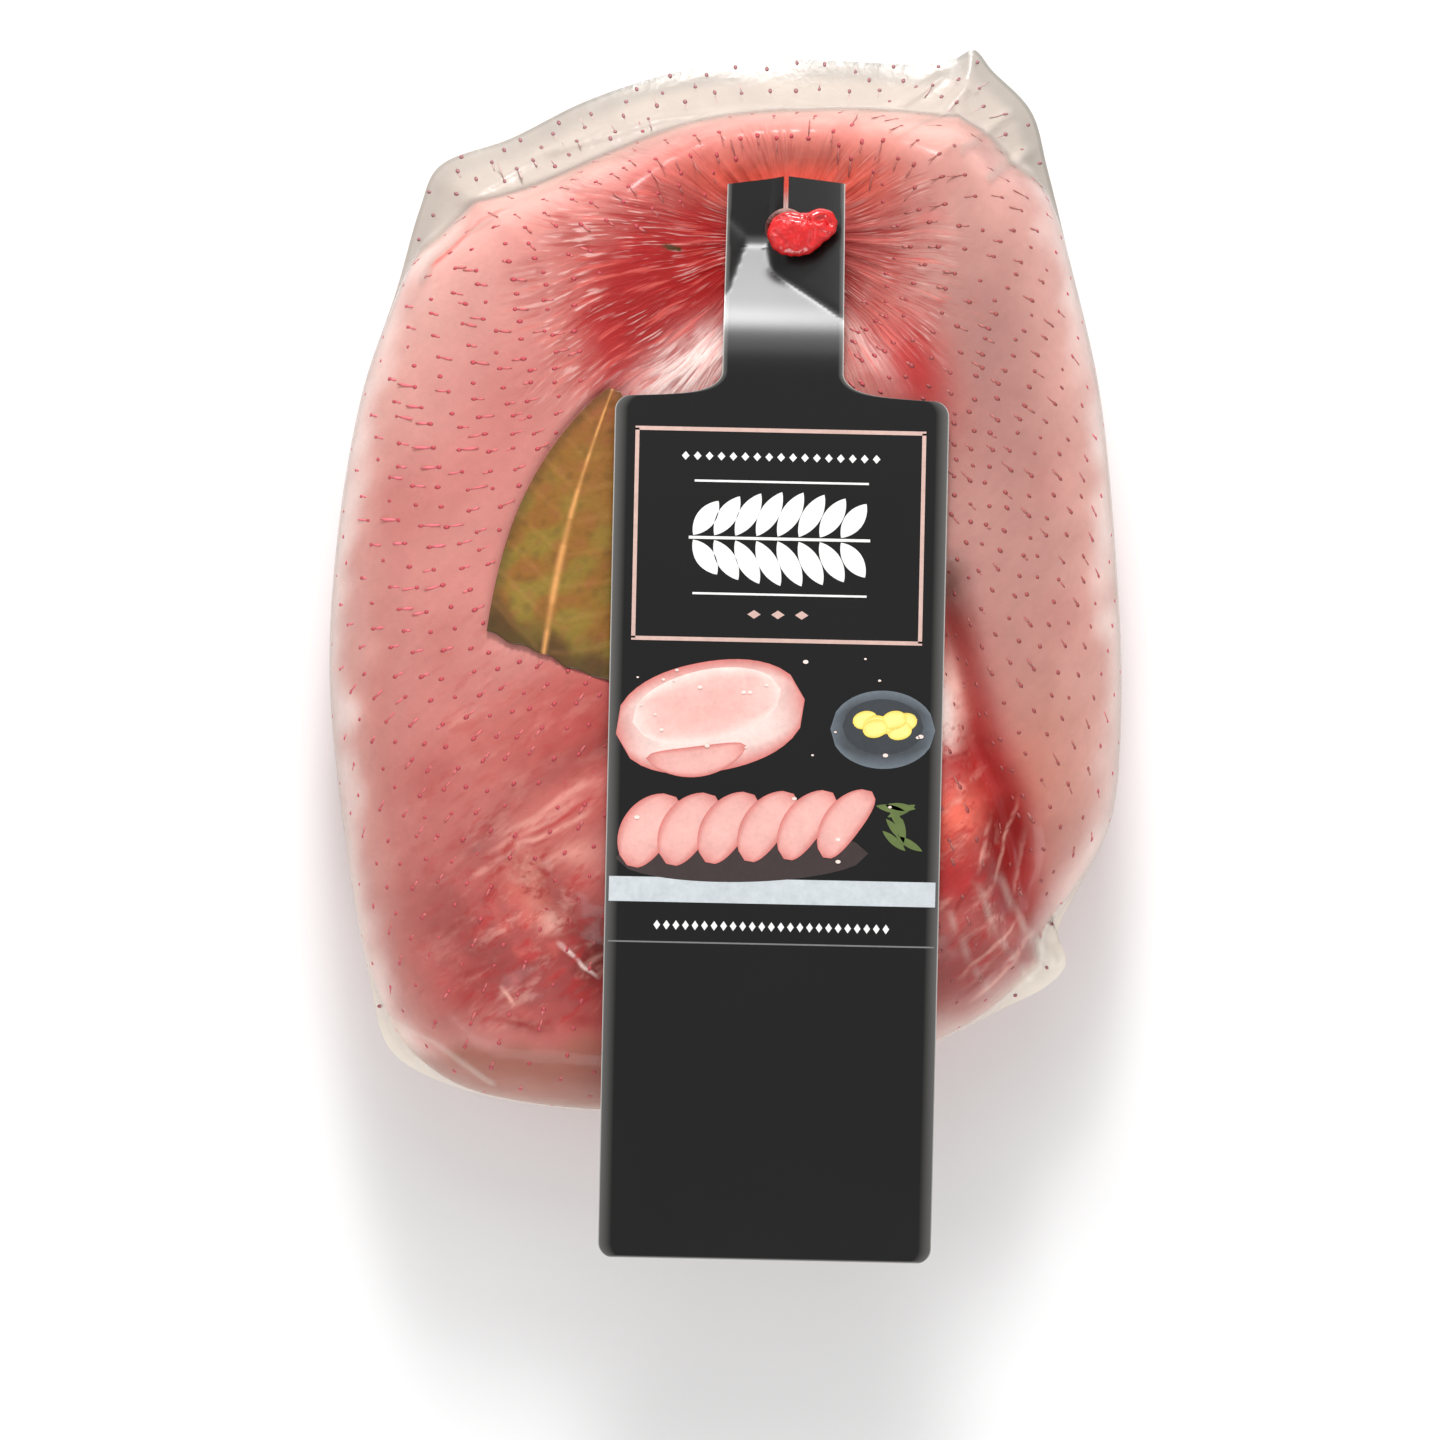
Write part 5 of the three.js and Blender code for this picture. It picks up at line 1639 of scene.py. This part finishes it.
class PACK_OT_film(bpy.types.Operator):
    """Make the clear casing"""

    bl_idname = "pack.film"
    bl_label = "Film"

    def execute(self, context):
        points, corners, sizes, masks = film_surface()
        film = put_mesh("film", points, corners, sizes, masks=masks)
        finish_piece(film, film_finish(colours()), "film", "bag")
        return {"FINISHED"}


class PACK_OT_meat(bpy.types.Operator):
    """Make the cured meat inside the casing"""

    bl_idname = "pack.meat"
    bl_label = "Meat"

    def execute(self, context):
        points, corners, sizes, tones, masks = meat_surface(palette())
        meat = put_mesh("cured_tongue", points, corners, sizes, tones, masks)
        finish_piece(meat, meat_finish(palette()), "film")
        return {"FINISHED"}


class PACK_OT_pricks(bpy.types.Operator):
    """Make the pricks in the casing"""

    bl_idname = "pack.pricks"
    bl_label = "Pricks"

    def execute(self, context):
        points, corners, sizes, tones = prick_surface(palette())
        pricks = put_mesh("film_pricks", points, corners, sizes, tones)
        finish_piece(pricks, prick_finish(), "film")
        return {"FINISHED"}


class PACK_OT_leaf(bpy.types.Operator):
    """Make the bay leaf under the casing"""

    bl_idname = "pack.leaf"
    bl_label = "Leaf"

    def execute(self, context):
        points, corners, sizes, tones = leaf_surface(palette())
        leaf = put_mesh("leaf", points, corners, sizes, tones)
        finish_piece(leaf, leaf_finish(), "leaf", "bay_leaf")
        return {"FINISHED"}


class PACK_OT_tag(bpy.types.Operator):
    """Make the card tag and its print"""

    bl_idname = "pack.tag"
    bl_label = "Tag"

    def execute(self, context):
        points, corners, sizes, rim, _ = tag_surface()
        card = put_mesh("tag_card", points, corners, sizes, masks={"rim": rim})
        card.data.set_sharp_from_angle(angle=math.radians(50))
        finish_piece(card, card_finish(colours()), "card", "tag")
        inks = palette()
        shapes = frame_strokes(inks["print_foil"])
        shapes += ornament_strokes(inks["print_white"], inks["print_foil"])
        shapes += picture_strokes(inks)
        points, corners, sizes, tones = strokes_surface(shapes)
        ink = put_mesh("tag_print", points, corners, sizes, tones, smooth_shading=False)
        finish_piece(ink, print_finish(), "card")
        return {"FINISHED"}


class PACK_OT_clip(bpy.types.Operator):
    """Make the red clip"""

    bl_idname = "pack.clip"
    bl_label = "Clip"

    def execute(self, context):
        points, corners, sizes = clip_surface()
        clip = put_mesh("clip_bean", points, corners, sizes)
        finish_piece(clip, clip_finish(colours()), "clip_red", "clip")
        return {"FINISHED"}


def aim(thing, target):
    """Turns a light or camera so that its -Z axis points at the target."""
    from mathutils import Vector

    heading = Vector(target) - thing.location
    thing.rotation_euler = heading.to_track_quat("-Z", "Y").to_euler()


def soft_light(name, place, target, size, power):
    """A rectangular soft light at a place, aimed at a target."""
    data = bpy.data.lights.new(name, "AREA")
    data.shape = "RECTANGLE"
    data.size, data.size_y = size
    data.energy = power
    light = bpy.data.objects.new(name, data)
    light.location = place
    bpy.context.scene.collection.objects.link(light)
    aim(light, target)
    return light


class PACK_OT_stage(bpy.types.Operator):
    """Make the floor, the lights and the camera"""

    bl_idname = "pack.stage"
    bl_label = "Stage"

    def execute(self, context):
        scene = context.scene
        sizes = scene.pack_sizes
        span = 2600.0
        steps = 8
        line = np.linspace(-span, span, steps + 1)
        gx, gy = np.meshgrid(line, line)
        points = np.stack([gx.ravel(), gy.ravel(), np.zeros(gx.size)], axis=1)
        quads = grid_quads(steps, steps)
        floor = put_mesh("studio_floor", points, quads.ravel(), np.full(len(quads), 4))
        floor.data.materials.append(floor_finish(colours()))
        world = bpy.data.worlds.new("studio")
        world.use_nodes = True
        background = world.node_tree.nodes["Background"]
        background.inputs["Color"].default_value = (1.0, 1.0, 1.0, 1.0)
        background.inputs["Strength"].default_value = 0.46
        scene.world = world
        soft_light("soft_top", (0.0, 0.72, sizes.light_height), (0, 0.03, 0.04), (0.13, 0.13), 2.2)
        soft_light("soft_mid", (0.0, 0.725, sizes.light_height), (0, 0.03, 0.04), (0.27, 0.27), 3.9)
        soft_light("soft_wide", (0.0, 0.73, sizes.light_height), (0, 0.03, 0.04), (0.55, 0.5), 0.9)
        soft_light("soft_high", (0.0, 0.42, 0.66), (0, 0.05, 0.04), (0.5, 0.2), 0.7)
        soft_light("soft_front", (0.0, -0.9, 0.62), (0, -0.02, 0.03), (0.7, 0.4), 4.2)
        soft_light("soft_left", (-0.75, 0.1, 0.75), (0, 0, 0.03), (0.6, 0.8), 0.9)
        soft_light("soft_right", (0.8, -0.1, 0.7), (0, 0, 0.03), (0.6, 0.8), 0.8)
        data = bpy.data.cameras.new("camera")
        data.sensor_fit = "HORIZONTAL"
        data.sensor_width = 36.0
        data.lens = sizes.camera_lens
        camera = bpy.data.objects.new("camera", data)
        camera.location = (-0.00108, -0.01565, sizes.camera_height)
        scene.collection.objects.link(camera)
        scene.camera = camera
        scene.view_settings.view_transform = "Standard"
        return {"FINISHED"}


class PACK_PT_panel(bpy.types.Panel):
    """Lists the pieces of the pack"""

    bl_label = "Tongue pack"
    bl_idname = "PACK_PT_panel"
    bl_space_type = "VIEW_3D"
    bl_region_type = "UI"
    bl_category = "Tongue pack"

    def draw(self, context):
        for operator in OPERATORS:
            self.layout.operator(operator.bl_idname)
        for key in PackColours.__annotations__:
            self.layout.prop(context.scene.pack_colours, key)
        for key in PackSizes.__annotations__:
            self.layout.prop(context.scene.pack_sizes, key)


OPERATORS = [
    PACK_OT_meat, PACK_OT_film, PACK_OT_pricks, PACK_OT_leaf, PACK_OT_tag, PACK_OT_clip,
    PACK_OT_stage,
]
CLASSES = [PackColours, PackSizes, *OPERATORS, PACK_PT_panel]


def register():
    for cls in CLASSES:
        bpy.utils.register_class(cls)
    bpy.types.Scene.pack_colours = bpy.props.PointerProperty(type=PackColours)
    bpy.types.Scene.pack_sizes = bpy.props.PointerProperty(type=PackSizes)


def unregister():
    del bpy.types.Scene.pack_sizes
    del bpy.types.Scene.pack_colours
    for cls in reversed(CLASSES):
        bpy.utils.unregister_class(cls)


def main():
    register()
    bpy.ops.pack.meat()
    bpy.ops.pack.film()
    bpy.ops.pack.pricks()
    bpy.ops.pack.leaf()
    bpy.ops.pack.tag()
    bpy.ops.pack.clip()
    bpy.ops.pack.stage()


if __name__ == "__main__":
    main()
